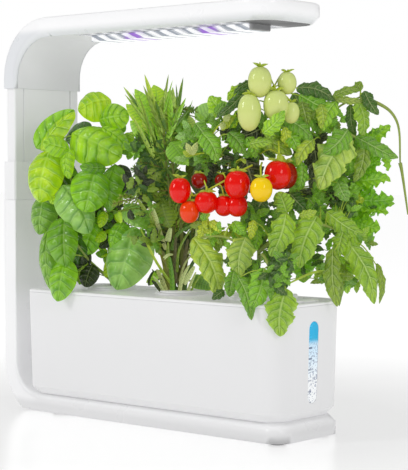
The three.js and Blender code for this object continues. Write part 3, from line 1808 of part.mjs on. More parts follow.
add('slide_column', buildSlideColumn(), glossWhite);
add('column_panel', buildColumnPanel(), satinWhite);
add('friction_pad_front', buildFrictionPad(-1), darkRubber);
add('friction_pad_back', buildFrictionPad(1), darkRubber);
add('contact_block', buildContactBlock(), brass);
add('arm_shell', buildArmShell(), glossWhite);
add('arm_under_cover', buildUnderCover(), underWhite);
add('reflector', buildReflector(), mirror);
add('lamp_lens', buildLens(), clear);
add('lens_end_cap', buildEndCap(), underWhite);
add('led_board', buildLedBoard(), aluminium);
add('heat_sink', buildHeatSink(), aluminium);
add('control_board', buildControlBoard(), circuitGreen);
add('power_button', buildButton(), satinWhite);

add('tank', buildTank(), tankWhite);
add('level_window', buildWindow(), waterBlue);
add('window_gasket', buildGasket(), darkRubber);
add('level_float', buildFloat(), floatBlue);
add('tank_lid', buildLid(), glossWhite);
add('fill_hatch', buildHatch(), glossWhite);
add('hinge_pin', buildHingePin(), steel);
podPlaces.forEach((x, number) => {
  add(`basket_${number + 1}`, buildBasket(x), satinWhite);
  add(`sponge_${number + 1}`, buildSponge(x), spongeDark);
  add(`planting_collar_${number + 1}`, buildPlantingCollar(x), satinWhite);
});

add('basil_plant', buildBasil(), basilGreen);
add('rosemary_plant', buildRosemary(), rosemaryGreen);
add('tomato_plant', buildTomato(), tomatoGreen);
add('salad_greens', buildGreens(), saladGreen);
add('green_tomatoes', fruitTruss(fruitTrusses.green, 0), fruitGreen);
add('red_tomatoes_left', fruitTruss(fruitTrusses.redLeft, 0), fruitRed);
add('red_tomatoes_right', fruitTruss(fruitTrusses.redRight, 0), fruitRed);
add('yellow_tomato', fruitTruss(fruitTrusses.yellow, 0), fruitYellow);

export default garden;
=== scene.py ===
import math
import random

import bpy
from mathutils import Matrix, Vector


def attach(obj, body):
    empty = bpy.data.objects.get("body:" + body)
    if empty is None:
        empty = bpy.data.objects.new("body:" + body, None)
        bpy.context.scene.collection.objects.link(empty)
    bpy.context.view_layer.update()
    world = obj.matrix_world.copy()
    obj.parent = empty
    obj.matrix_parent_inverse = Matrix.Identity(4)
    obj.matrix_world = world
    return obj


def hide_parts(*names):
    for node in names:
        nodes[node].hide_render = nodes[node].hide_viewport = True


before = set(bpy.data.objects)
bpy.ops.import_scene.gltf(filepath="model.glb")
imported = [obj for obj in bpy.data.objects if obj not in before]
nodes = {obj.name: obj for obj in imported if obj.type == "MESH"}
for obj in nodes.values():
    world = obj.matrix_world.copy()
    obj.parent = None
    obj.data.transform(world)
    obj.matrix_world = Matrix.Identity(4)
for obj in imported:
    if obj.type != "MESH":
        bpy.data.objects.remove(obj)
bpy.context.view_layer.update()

MM = 0.001

# The photograph's camera
PHOTO_LONG_SIDE = 470
FOCAL_PIXELS = 1562.451
SENSOR = 36
CAMERA_PLACE = Vector((1033.78, -1140.60, 247.71)) * MM
CAMERA_YAW = 40.75
CAMERA_PITCH = 2.374
FAR_CLIP = 60


def make_camera():
    lens = bpy.data.cameras.new("camera")
    lens.sensor_width = SENSOR
    lens.lens = FOCAL_PIXELS * SENSOR / PHOTO_LONG_SIDE
    lens.clip_end = FAR_CLIP
    camera = bpy.data.objects.new("camera", lens)
    camera.location = CAMERA_PLACE
    camera.rotation_euler = (math.radians(90 - CAMERA_PITCH), 0, math.radians(CAMERA_YAW))
    bpy.context.scene.collection.objects.link(camera)
    bpy.context.scene.camera = camera


make_camera()
bpy.context.scene.view_settings.view_transform = "Standard"


# Colours are written as they look on a screen, and turned to amounts of light here
def colour(red, green, blue):
    def linear(level):
        share = level / 255
        return share / 12.92 if share <= 0.04045 else ((share + 0.055) / 1.055) ** 2.4

    return (linear(red), linear(green), linear(blue), 1)


PATCH_LOW_SHARE = 0.3
PATCH_HIGH_SHARE = 0.7


class Look:
    """A node material: nodes are added by type and joined socket to socket."""

    def __init__(self, name):
        self.material = bpy.data.materials.new(name)
        self.material.use_nodes = True
        self.tree = self.material.node_tree
        self.shader = self.tree.nodes["Principled BSDF"]
        self.output = self.tree.nodes["Material Output"]

    def add(self, kind, **settings):
        node = self.tree.nodes.new(kind)
        for name, value in settings.items():
            setattr(node, name, value)
        return node

    def join(self, source, target):
        if isinstance(source, bpy.types.NodeSocket):
            self.tree.links.new(source, target)
        else:
            target.default_value = source

    def math(self, operation, *values):
        node = self.add("ShaderNodeMath", operation=operation)
        for place, value in enumerate(values):
            self.join(value, node.inputs[place])
        return node.outputs[0]

    def times(self, first, second):
        return self.math("MULTIPLY", first, second)

    def plus(self, first, second):
        return self.math("ADD", first, second)

    def minus(self, first, second):
        return self.math("SUBTRACT", first, second)

    def highest(self, first, second):
        return self.math("MAXIMUM", first, second)

    def wave(self, value, pitch):
        """Rises from nothing to one and falls again along each pitch."""
        return self.times(self.math("PINGPONG", value, pitch / 2), 2 / pitch)

    def noise(self, where, scale, detail=3, roughness=0.5):
        node = self.add("ShaderNodeTexNoise")
        self.join(where, node.inputs["Vector"])
        node.inputs["Scale"].default_value = scale
        node.inputs["Detail"].default_value = detail
        node.inputs["Roughness"].default_value = roughness
        return node.outputs["Fac"]

    def span(self, value, low, high, to_low=0.0, to_high=1.0, smooth=False):
        node = self.add("ShaderNodeMapRange")
        if smooth:
            node.interpolation_type = "SMOOTHSTEP"
        for place, item in enumerate((value, low, high, to_low, to_high)):
            self.join(item, node.inputs[place])
        return node.outputs[0]

    def mix(self, share, first, second, blend="MIX"):
        node = self.add("ShaderNodeMix", data_type="RGBA", blend_type=blend)
        self.join(share, node.inputs["Factor"])
        self.join(first, node.inputs["A"])
        self.join(second, node.inputs["B"])
        return node.outputs["Result"]

    def uneven(self, where, scale, detail, low=0.0, high=1.0):
        """Soft patches that drift between two levels."""
        patches = self.noise(where, scale, detail)
        return self.span(patches, PATCH_LOW_SHARE, PATCH_HIGH_SHARE, low, high)

    def where(self):
        return self.add("ShaderNodeTexCoord").outputs["Object"]

    def spot(self):
        """Place on a leaf or fruit: share across it and share along it."""
        return self.parts(self.add("ShaderNodeUVMap", uv_map="place").outputs[0])[0:2]

    def tint(self):
        return self.add("ShaderNodeAttribute", attribute_name="tint").outputs["Color"]

    def parts(self, vector):
        node = self.add("ShaderNodeSeparateXYZ")
        self.join(vector, node.inputs[0])
        return node.outputs

    def bump(self, height, strength, distance):
        node = self.add("ShaderNodeBump")
        node.inputs["Strength"].default_value = strength
        node.inputs["Distance"].default_value = distance
        self.join(height, node.inputs["Height"])
        self.join(node.outputs["Normal"], self.shader.inputs["Normal"])

    def glow(self, tone, strength):
        self.join(tone, self.shader.inputs["Emission Color"])
        self.shader.inputs["Emission Strength"].default_value = strength

    def blend(self, share, first, second):
        """Lets a share of the second surface show over the first."""
        both = self.add("ShaderNodeMixShader")
        for place, source in enumerate((share, first, second)):
            self.join(source, both.inputs[place])
        self.join(both.outputs[0], self.output.inputs["Surface"])
        return self.material

    def finish(self, **sockets):
        for name, value in sockets.items():
            self.join(value, self.shader.inputs[name.replace("_", " ")])
        return self.material


FINE_GRAIN = 900
FINE_DEPTH = 0.02 * MM
METAL_DEPTH = 0.01 * MM
RUBBER_DEPTH = 0.06 * MM
BOARD_DEPTH = 0.05 * MM
SPONGE_DEPTH = 0.5 * MM
GRAIN_SHARE = 0.35
GLOSS_SPREAD = 0.12


def moulded(name, tone, roughness, grain=FINE_GRAIN, depth=FINE_DEPTH, metal=0.0, glow=0.0, foot=None):
    """Moulded or metal surface: faint tone drift, uneven gloss, fine grain and, if given, a painted glow.

    A foot is painted shade, a deeper tone on the rounded lower edge, with the heights between which it
    fades."""
    look = Look(name)
    place = look.where()
    dark = tuple(level * 0.98 for level in tone[:3]) + (1,)
    cloud = look.mix(look.uneven(place, 9, 4), dark, tone)
    if foot:
        # Painted shade: the rounded lower edge is given a deeper tone by height
        painted_shade_tone, low, high = foot
        up = look.parts(place)[2]
        cloud = look.mix(look.span(up, low, high, 1, 0, smooth=True), cloud, painted_shade_tone)
    least = roughness * (1 - GLOSS_SPREAD)
    most = roughness * (1 + GLOSS_SPREAD)
    gloss = look.uneven(place, 40, 3, least, most)
    look.bump(look.noise(place, grain, 2), GRAIN_SHARE, depth)
    # Painted glow: the surface gives off light in its own tone, though it is no lamp
    if glow:
        look.glow(cloud, glow)
    return look.finish(Base_Color=cloud, Roughness=gloss, Metallic=metal)


UNDER_PAINTED_GLOW = 0.12
SHADE_START = 112 * MM
SHADE_END = 126 * MM


def under_look():
    """Matt cover under the arm, with painted shade, a darker grey, past the light bar's end, and a painted
    glow.
    """
    look = Look("under_white")
    place = look.where()
    along = look.parts(place)[0]
    drift = look.uneven(place, 9, 4)
    pale = look.mix(drift, colour(214, 214, 216), colour(222, 222, 224))
    # Painted shade: a darker grey past the light bar's end, where the cover lies in shade
    deep = look.mix(drift, colour(66, 66, 68), colour(76, 76, 78))
    tone = look.mix(look.span(along, SHADE_START, SHADE_END), pale, deep)
    look.bump(look.noise(place, FINE_GRAIN, 2), GRAIN_SHARE, FINE_DEPTH)
    # Painted glow: the cover gives off light in its own tone, though it is no lamp
    look.glow(tone, UNDER_PAINTED_GLOW)
    return look.finish(Base_Color=tone, Roughness=look.uneven(place, 40, 3, 0.44, 0.56))


# Painted glow of the white shells: they give off light, though they are no lamps
WHITE_PAINTED_GLOW = 0.1
# Painted shade on the rounded lower edges of the base and the arm: its tone and the heights where it fades
BASE_SHADE_START = 8 * MM
BASE_SHADE_END = 17 * MM
ARM_SHADE_START = 384 * MM
ARM_SHADE_END = 392 * MM
BASE_PAINTED_SHADE = (colour(222, 222, 223), BASE_SHADE_START, BASE_SHADE_END)
ARM_PAINTED_SHADE = (colour(218, 220, 223), ARM_SHADE_START, ARM_SHADE_END)
SHELL_WHITE = moulded("shell_white", colour(236, 236, 237), 0.3, glow=WHITE_PAINTED_GLOW)
BASE_WHITE = moulded("base_white", colour(243, 243, 244), 0.3, glow=WHITE_PAINTED_GLOW, foot=BASE_PAINTED_SHADE)
ARM_WHITE = moulded("arm_white", colour(240, 240, 241), 0.3, glow=WHITE_PAINTED_GLOW, foot=ARM_PAINTED_SHADE)
SATIN_WHITE = moulded("satin_white", colour(232, 232, 233), 0.46, glow=WHITE_PAINTED_GLOW)
TANK_WHITE = moulded("tank_white", colour(230, 230, 231), 0.34, glow=WHITE_PAINTED_GLOW)
UNDER_WHITE = under_look()
RUBBER = moulded("rubber", colour(42, 42, 44), 0.85, 500, RUBBER_DEPTH)
STEEL = moulded("steel", colour(190, 192, 196), 0.32, 1400, METAL_DEPTH, 1.0)
ALUMINIUM = moulded("aluminium", colour(198, 200, 203), 0.42, 1200, FINE_DEPTH, 1.0)
BRASS = moulded("brass", colour(190, 158, 82), 0.34, 1200, METAL_DEPTH, 1.0)
BOARD = moulded("circuit_board", colour(44, 104, 68), 0.55, 700, BOARD_DEPTH)
SPONGE = moulded("sponge_dark", colour(52, 42, 34), 0.95, 700, SPONGE_DEPTH)
BLACK = moulded("black_plastic", colour(28, 28, 30), 0.45)

EDGE_MELT = 0.01 * MM
FLAT_ANGLE = math.radians(0.1)
BEVEL_ANGLE = math.radians(32)
EDGE_SEGMENTS = 3


def smoothing_group():
    """Joins corners that lie on one another, so that gentle folds are shaded smooth."""
    group = bpy.data.node_groups.new("smooth_faces", "GeometryNodeTree")
    group.interface.new_socket("Geometry", in_out="INPUT", socket_type="NodeSocketGeometry")
    group.interface.new_socket("Geometry", in_out="OUTPUT", socket_type="NodeSocketGeometry")
    start = group.nodes.new("NodeGroupInput")
    merge = group.nodes.new("GeometryNodeMergeByDistance")
    merge.inputs["Distance"].default_value = EDGE_MELT
    smooth = group.nodes.new("GeometryNodeSetShadeSmooth")
    end = group.nodes.new("NodeGroupOutput")
    group.links.new(start.outputs[0], merge.inputs["Geometry"])
    group.links.new(merge.outputs[0], smooth.inputs["Geometry"])
    group.links.new(smooth.outputs[0], end.inputs[0])
    return group


SMOOTHING = smoothing_group()


def dress(name, material, edge=0.0):
    """Gives a solid its material, clean flat faces and rounded edges of one radius."""
    node = nodes[name]
    node.data.materials.clear()
    node.data.materials.append(material)
    modifier = node.modifiers.new("join_corners", "NODES")
    modifier.node_group = SMOOTHING
    flat = node.modifiers.new("flat_faces", "DECIMATE")
    flat.decimate_type = "DISSOLVE"
    flat.angle_limit = FLAT_ANGLE
    if edge:
        bevel = node.modifiers.new("soft_edges", "BEVEL")
        bevel.width = edge
        bevel.segments = EDGE_SEGMENTS
        bevel.limit_method = "ANGLE"
        bevel.angle_limit = BEVEL_ANGLE
    normals = node.modifiers.new("even_shading", "WEIGHTED_NORMAL")
    normals.keep_sharp = True


DRESSING = {
    SHELL_WHITE: ("column_collar", "tank_lid", "fill_hatch"),
    BASE_WHITE: ("base_shell",),
    ARM_WHITE: ("arm_shell",),
    SATIN_WHITE: ("slide_column", "column_panel", "bottom_cover", "power_button"),
    TANK_WHITE: ("tank",),
    UNDER_WHITE: ("arm_under_cover", "lens_end_cap"),
    RUBBER: ("foot_1", "foot_2", "foot_3", "foot_4", "foot_5", "window_gasket"),
    STEEL: ("cover_screw_1", "cover_screw_2", "cover_screw_3", "cover_screw_4", "hinge_pin"),
    ALUMINIUM: ("led_board", "heat_sink"),
    BRASS: ("contact_block",),
    BOARD: ("inlet_board", "contact_strip", "control_board"),
    SPONGE: ("sponge_1", "sponge_2", "sponge_3"),
    BLACK: ("power_inlet", "friction_pad_front", "friction_pad_back"),
}
ALREADY_ROUND = (BASE_WHITE, ARM_WHITE)
PART_EDGE = 0.8 * MM
BASKET_EDGE = 0.3 * MM
COLLAR_EDGE = 0.4 * MM
for material, names in DRESSING.items():
    edge = 0 if material in ALREADY_ROUND else PART_EDGE
    for name in names:
        dress(name, material, edge)

for pod in (1, 2, 3):
    dress(f"basket_{pod}", SATIN_WHITE, BASKET_EDGE)
    dress(f"planting_collar_{pod}", SATIN_WHITE, COLLAR_EDGE)

STRIPE_PITCH = 17 * MM
FINE_PITCH = 6.5 * MM
STRIPE_SLANT = 2.3
LENS_FOOT = 377.5 * MM
SPOT_PITCH = 33.5 * MM
SPOT_START = -87.7 * MM
LILAC_PLACES = (-29 * MM, 68 * MM)
LILAC_REACH = 17 * MM
LENS_GLOW = 0.35
LENS_WANDER = 5 * MM
SPOT_HALF = 2 * MM
SPOT_REACH = 4 * MM
SPOT_FOOT = 6 * MM
SPOT_TOP = 7 * MM
RIB_DEPTH = 1 * MM


def lens_look():
    """Clear ribbed lens over the diodes: slanting bright and grey bands, lilac where some diodes glow."""
    look = Look("lens_ribs")
    place = look.where()
    along, _, up = look.parts(place)[0:3]
    height = look.minus(up, LENS_FOOT)
    slanted = look.plus(along, look.times(height, STRIPE_SLANT))
    slanted = look.plus(slanted, look.times(look.noise(place, 70, 2), LENS_WANDER))
    wide = look.wave(slanted, STRIPE_PITCH)
    fine = look.wave(slanted, FINE_PITCH)
    band = look.plus(look.times(wide, 0.75), look.times(fine, 0.25))
    bright = look.span(band, 0.25, 0.7, smooth=True)
    tone = look.mix(bright, colour(158, 164, 174), colour(250, 250, 252))
    for centre in LILAC_PLACES:
        gap = look.math("ABSOLUTE", look.minus(along, centre))
        near = look.span(gap, LILAC_REACH * 0.3, LILAC_REACH, 1, 0, smooth=True)
        shade = look.times(near, look.span(bright, 0.1, 0.9, 1, 0.25))
        tone = look.mix(shade, tone, colour(156, 112, 208))
    spot = look.math("PINGPONG", look.minus(along, SPOT_START), SPOT_PITCH / 2)
    upper = look.span(height, SPOT_FOOT, SPOT_TOP)
    dark = look.times(look.span(spot, SPOT_HALF, SPOT_REACH, 1, 0), upper)
    tone = look.mix(dark, tone, colour(50, 48, 56))
    look.bump(band, 0.5, RIB_DEPTH)
    look.glow(tone, LENS_GLOW)
    return look.finish(Base_Color=tone, Roughness=0.22)


BAR_END = 121 * MM
BAR_END_FADE = 1 * MM
REFLECTION_SLANT = 0.25


def reflector_look():
    """Bright rolled sheet with soft slanting bands of painted reflection of the ribbed lens, and painted
    shade past the light bar's end.
    """
    look = Look("reflector_sheet")
    place = look.where()
    along, across = look.parts(place)[0:2]
    # Painted reflection: slanting bands where the ribbed lens would be mirrored in the sheet
    slanted = look.plus(along, look.times(across, REFLECTION_SLANT))
    band = look.span(look.wave(slanted, STRIPE_PITCH), 0.2, 0.8, smooth=True)
    tone = look.mix(band, colour(150, 152, 160), colour(232, 232, 238))
    # Painted shade: a darker grey past the light bar's end
    painted_shade_past_end = look.span(along, BAR_END, BAR_END + BAR_END_FADE)
    tone = look.mix(painted_shade_past_end, tone, colour(96, 96, 99))
    gloss = look.uneven(place, 80, 3, 0.22, 0.34)
    look.bump(look.noise(place, FINE_GRAIN, 2), 0.2, FINE_DEPTH)
    return look.finish(Base_Color=tone, Roughness=gloss, Metallic=0.6)


FLOAT_TOP = 95 * MM
FROST_SPAN = 7 * MM
TICK_PITCH = 10 * MM
TICK_HALF = 0.45 * MM
TICK_SIDE = -2 * MM
TICK_START = 6 * MM
FAINT_TICK = 60 * MM
STRONG_TICK = 90 * MM
SKY_START = 55 * MM
SKY_END = 88 * MM
DROP_DEPTH = 0.3 * MM
PANE_INDEX = 1.47
PANE_TINT = (0.8, 0.95, 1, 1)
PANE_PAINTED_GLOW = 0.14
FLOAT_PAINTED_GLOW = 0.8
PORE_DEPTH = 0.15 * MM


def window_look():
    """Clear pane, misted with droplets below the float's highest place, with plain level ticks."""
    look = Look("window_pane")
    place = look.where()
    _, across, up = look.parts(place)[0:3]
    mist = look.span(up, FLOAT_TOP - FROST_SPAN, FLOAT_TOP, 0.94, 0.8, smooth=True)
    upper = look.mix(look.span(up, SKY_START, SKY_END), colour(252, 254, 255), colour(206, 236, 255))
    drop = look.span(look.noise(place, 520, 2, 0.6), 0.54, 0.6, 0, 0.75)
    tone = look.mix(drop, upper, colour(120, 132, 160))
    gap = look.math("PINGPONG", look.minus(up, TICK_START), TICK_PITCH / 2)
    line = look.span(gap, TICK_HALF, TICK_HALF * 2, 1, 0)
    side = look.span(across, TICK_SIDE, TICK_SIDE * 0.5, 1, 0)
    strong = look.span(up, FAINT_TICK, STRONG_TICK, 0.5, 1)
    tick = look.times(look.times(line, side), strong)
    tone = look.mix(tick, tone, colour(18, 44, 96))
    full = look.span(up, FLOAT_TOP - FROST_SPAN, FLOAT_TOP, smooth=True)
    tone = look.mix(full, tone, colour(0, 186, 232))
    look.bump(drop, 0.4, DROP_DEPTH)
    # Painted glow: the pane gives off light in its own tone, though it is no lamp
    look.glow(tone, PANE_PAINTED_GLOW)
    look.finish(Base_Color=tone, Roughness=0.16)
    clear = look.add("ShaderNodeBsdfRefraction")
    clear.inputs["Color"].default_value = PANE_TINT
    clear.inputs["IOR"].default_value = PANE_INDEX
    clear.inputs["Roughness"].default_value = 0
    return look.blend(look.highest(mist, tick), clear.outputs[0], look.shader.outputs[0])


def float_look():
    """Cyan float with a painted glow, a little uneven as moulded foam is."""
    look = Look("float_cyan")
    place = look.where()
    pores = look.span(look.noise(place, 500, 3), 0.35, 0.7)
    tone = look.mix(pores, colour(0, 168, 218), colour(18, 196, 236))
    # Painted glow: the float gives off light in its own tone, though it is no lamp
    look.glow(tone, FLOAT_PAINTED_GLOW)
    look.bump(pores, 0.4, PORE_DEPTH)
    return look.finish(Base_Color=tone, Roughness=0.4)


LENS_EDGE = 0.6 * MM
SHEET_EDGE = 0.2 * MM
PANE_EDGE = 0.4 * MM
dress("lamp_lens", lens_look(), LENS_EDGE)
dress("reflector", reflector_look(), SHEET_EDGE)
dress("level_window", window_look(), PANE_EDGE)
dress("level_float", float_look(), PART_EDGE)

# Plants. Each is laid out from the place of its pod on the lid, as the photograph shows it: places are
# shares of the plant's size to the right, upwards and to the back
LID_TOP = 127 * MM
POD_PLACES = (-72 * MM, 22 * MM, 116 * MM)
BASIL_SIZE = 204 * MM
ROSEMARY_SIZE = 215 * MM
TOMATO_SIZE = 220 * MM
PLANT_TURN = math.radians(CAMERA_YAW)
RIGHTWARD = Vector((math.cos(PLANT_TURN), math.sin(PLANT_TURN), 0))
BACKWARD = Vector((-math.sin(PLANT_TURN), math.cos(PLANT_TURN), 0))
UPWARD = Vector((0, 0, 1))
LEAF_FACE = (UPWARD * 0.35 - BACKWARD).normalized()

BLADE = 0
STALK = 1
BERRY = 2


class Plant:
    """Leaves, stalks and berries of one plant, gathered into one mesh."""

    def __init__(self, pod, size):
        self.foot = Vector((POD_PLACES[pod], 0, LID_TOP))
        self.size = size
        self.points = []
        self.faces = []
        self.places = []
        self.tints = []
        self.kinds = []

    def at(self, right, up, back):
        return self.foot + (RIGHTWARD * right + BACKWARD * back + UPWARD * up) * self.size

    def lines(self, rows):
        return [[self.at(*place) for place in row] for row in rows]

    def sheet(self, rows, tint, kind, closed=False):
        first = len(self.points)
        wide = len(rows[0])
        tall = len(rows)
        for level, row in enumerate(rows):
            for column, point in enumerate(row):
                self.points.append(point)
                self.places.append((column / (wide - 1), level / (tall - 1)))
                self.tints.append(TINTS[tint])
        columns = wide if closed else wide - 1
        for level in range(tall - 1):
            for column in range(columns):
                near = first + level * wide
                far = near + wide
                after = (column + 1) % wide
                self.faces.append((near + column, near + after, far + after, far + column))
                self.kinds.append(kind)

    def build(self, name, materials, body, *replaced):
        mesh = bpy.data.meshes.new(name)
        mesh.from_pydata(self.points, [], self.faces)
        mesh.polygons.foreach_set("material_index", self.kinds)
        mesh.polygons.foreach_set("use_smooth", [True] * len(self.faces))
        layer = mesh.uv_layers.new(name="place")
        for loop in mesh.loops:
            layer.data[loop.index].uv = self.places[loop.vertex_index]
        tint = mesh.color_attributes.new("tint", "FLOAT_COLOR", "POINT")
        for number, value in enumerate(self.tints):
            tint.data[number].color = value
        for material in materials:
            mesh.materials.append(material)
        piece = bpy.data.objects.new(name, mesh)
        bpy.context.scene.collection.objects.link(piece)
        rounding = piece.modifiers.new("rounding", "SUBSURF")
        rounding.levels = 1
        rounding.render_levels = 1
        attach(piece, body)
        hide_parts(*replaced)


TUBE_STEPS = 4


def curve_through(points, steps):
    """Points along a smooth curve through the given ones."""
    ends = [points[0] * 2 - points[1]] + list(points) + [points[-1] * 2 - points[-2]]
    found = []
    for place in range(len(points) - 1):
        before, start, end, after = ends[place : place + 4]
        for step in range(steps):
            share = step / steps
            found.append(
                start * 0.5 * (2 - 5 * share**2 + 3 * share**3)
                + before * 0.5 * (-share + 2 * share**2 - share**3)
                + end * 0.5 * (share + 4 * share**2 - 3 * share**3)
                + after * 0.5 * (share**3 - share**2)
            )
    return found + [points[-1]]


def sections(line):
    """Each point of a line with its share of the way, its side direction and its upper direction."""
    last = len(line) - 1
    for place, point in enumerate(line):
        along = (line[min(place + 1, last)] - line[max(place - 1, 0)]).normalized()
        side = along.cross(LEAF_FACE).normalized()
        yield point, place / last, side, side.cross(along)


def around(first, second, angle):
    """The direction at an angle from the first one towards the second one."""
    return first * math.cos(angle) + second * math.sin(angle)


def bowed(start, end, share, rise):
    """The start, a lifted point at a share of the way, and the end."""
    return [start, start.lerp(end, share) + UPWARD * rise, end]


def tube(plant, points, first_radius, last_radius, tint, sides=7):
    line = curve_through(points, TUBE_STEPS) if len(points) > 2 else list(points)
    rows = []
    for point, share, side, upper in sections(line):
        radius = first_radius + (last_radius - first_radius) * share
        ring = []
        for step in range(sides):
            angle = step / sides * math.tau
            ring.append(point + around(side, upper, angle) * radius)
        rows.append(ring)
    plant.sheet(rows, tint, STALK, closed=True)


NARROWEST_SHARE = 0.04
NOTCH_SHIFT_SHARE = 0.4
CUP_POWER = 2.2
RUFFLE_SLANT = 4
NOTCH_LEAN_SHARE = 0.5


class LeafStyle:
    """How a kind of leaf is shaped. Depths are shares of the half width, dome of the length."""

    dome = 0.1
    fold = 0.0
    puff = 0.0
    pairs = 5
    slope = 0.5
    teeth = 0.0
    tooth_count = 6
    lobes = 3
    lobe_depth = 0.0
    ruffle = 0.0
    ruffle_count = 3
    droop = 0.0
    twist = 0.0
    sway = 0.0

    def __init__(self, widest, **shape):
        self.power = math.log(0.5) / math.log(widest)
        for name, value in shape.items():
            setattr(self, name, value)

    def half_share(self, along):
        swell = max(math.sin(math.pi * along**self.power), 0.0)
        return max(swell**self.bluntness, NARROWEST_SHARE)

    def outline(self, share, reach, phase):
        """Share of the smooth outline that lobes and teeth leave, fading towards the midrib."""
        shift = phase if reach > 0 else phase + NOTCH_SHIFT_SHARE
        notch = 0.5 + 0.5 * math.cos(math.tau * (share * self.lobes + shift))
        saw = (share * self.tooth_count + shift) % 1
        return 1 - (self.lobe_depth * notch + self.teeth * saw) * reach**2

    def depth(self, share, reach, phase):
        """Height of the blade over its midrib."""
        rim = abs(reach)
        ribs = share * self.pairs - rim * self.slope
        swelling = abs(math.sin(math.pi * ribs)) * (1 - rim**3) * min(rim * 3, 1)
        wave = math.sin(math.tau * (share * self.ruffle_count + phase) + reach * RUFFLE_SLANT)
        bend = self.fold * rim - self.cup * rim**CUP_POWER
        return bend + self.puff * swelling + self.ruffle * wave * rim**2


def leaf(plant, base, tip, width, tint, style, turn=0.0, phase=0.0):
    """One blade from its base to its tip, domed towards its face, turned about its length."""
    line = tip - base
    length = line.length
    along = line.normalized()
    across = along.cross(LEAF_FACE).normalized()
    out = across.cross(along).normalized()
    rows = []
    for level in range(style.rows + 1):
        share = level / style.rows
        angle = math.radians(turn + style.twist * (phase - 0.5) * share)
        side = across * math.cos(angle) + out * math.sin(angle)
        face = out * math.cos(angle) - across * math.sin(angle)
        arch = math.sin(math.pi * share)
        sway = side * (style.sway * math.sin(math.tau * phase) * arch)
        lift = face * (style.dome * arch - style.droop * share**2)
        centre = base + line * share + (sway + lift) * length
        spread = width / 2 * style.half_share(share)
        row = []
        for column in range(-style.sides, style.sides + 1):
            reach = column / style.sides
            cut = style.outline(share, reach, phase)
            lean = along * ((1 - cut) * spread * NOTCH_LEAN_SHARE)
            rise = face * (style.depth(share, reach, phase) * spread)
            row.append(centre + side * (spread * cut * reach) + rise + lean)
        rows.append(row)
    plant.sheet(rows, tint, BLADE)


CREASE_SHADE_GREEN = (0.16, 0.34, 0.08, 1)
LEAF_PAINTED_GLOW = 0.1
LEAF_SHEEN = 0.85
VEIN_WANDER = 0.5
NET_SCALE = 300
PAINTED_PILLOW_SHARE = 0.5
PAINTED_SUN_TINT = (1, 1, 0.4, 1)
PAINTED_SHADE_TINT = (0.24, 0.45, 0.15, 1)
THROUGH_TINT = (0.6, 0.9, 0.05, 1)


def leaf_look(name, pairs, slope, vein_tone, vein_share, net_share, crease_shade_share, gloss, relief, glow):
    """Leaf skin: a tint for each leaf, painted light and shade over each swelling and in soft patches,
    painted shade in the creases by the veins, a fine net, a painted glow and light through it.
    """
    look = Look(name)
    across, along = look.spot()
    rim = look.times(look.math("ABSOLUTE", look.minus(across, 0.5)), 2)
    place = look.where()
    wander = look.times(look.noise(place, 70, 3), VEIN_WANDER)
    row = look.plus(look.minus(look.times(along, pairs), look.times(rim, slope)), wander)
    side_vein = look.span(look.math("PINGPONG", row, 0.5), 0.0, 0.1, 1, 0, smooth=True)
    side_vein = look.times(side_vein, look.span(rim, 0.5, 1, 0.8, 0.1))
    midrib = look.span(rim, 0.01, 0.08, 1, 0, smooth=True)
    vein = look.highest(side_vein, midrib)
    # Painted shade in the creases beside the side veins and along the midrib; the same mask also lowers
    # the bump
    hollow_and_crease_shade = look.span(look.math("PINGPONG", row, 0.5), 0.03, 0.2, 1, 0, smooth=True)
    hollow_and_crease_shade = look.highest(hollow_and_crease_shade, look.span(rim, 0.04, 0.22, 0.8, 0, smooth=True))
    tint = look.tint()
    # Painted light and shade: each swelling between side veins lighter at one side, darker at the other,
    # over soft patches
    painted_light_patches = look.span(look.noise(place, 45, 4, 0.6), 0.32, 0.7)
    painted_pillow_shade = look.times(look.span(look.math("FRACT", row), 0, 1, 1, 0), PAINTED_PILLOW_SHARE)
    painted_light_patches = look.plus(painted_pillow_shade, look.times(painted_light_patches, 1 - PAINTED_PILLOW_SHARE))
    light = look.mix(0.8, tint, PAINTED_SUN_TINT, "SOFT_LIGHT")
    dark = look.mix(0.85, tint, PAINTED_SHADE_TINT, "MULTIPLY")
    skin = look.mix(painted_light_patches, dark, light)
    deep = look.mix(0.9, tint, CREASE_SHADE_GREEN, "MULTIPLY")
    skin = look.mix(look.times(hollow_and_crease_shade, crease_shade_share), skin, deep)
    # Lighter towards the leaf's edge, in the painted sun tone
    skin = look.mix(look.span(rim, 0.75, 1, 0, 0.4), skin, light)
    net = look.add("ShaderNodeTexVoronoi", feature="DISTANCE_TO_EDGE")
    look.join(place, net.inputs["Vector"])
    net.inputs["Scale"].default_value = NET_SCALE
    mesh = look.times(look.span(net.outputs["Distance"], 0, 0.1, 1, 0), net_share)
    lines = look.highest(look.times(vein, vein_share), mesh)
    skin = look.mix(lines, skin, look.mix(0.4, tint, vein_tone))
    wrinkle = look.noise(place, 220, 3, 0.6)
    height = look.minus(look.plus(look.times(wrinkle, 0.6), 1), hollow_and_crease_shade)
    look.bump(look.minus(height, look.times(mesh, 0.7)), 0.7, relief)
    # Painted glow: leaves give off light in their own tone
    look.glow(skin, LEAF_PAINTED_GLOW)
    look.shader.inputs["Specular IOR Level"].default_value = LEAF_SHEEN
    look.finish(Base_Color=skin, Roughness=look.uneven(place, 90, 3, gloss * 0.8, gloss * 1.25))
    through = look.add("ShaderNodeBsdfTranslucent")
    look.join(look.mix(0.35, skin, THROUGH_TINT), through.inputs["Color"])
    return look.blend(glow, look.shader.outputs[0], through.outputs[0])


FIBRE_DEPTH = 0.3 * MM
FIBRE_TINT = (0.25, 0.22, 0.1, 1)


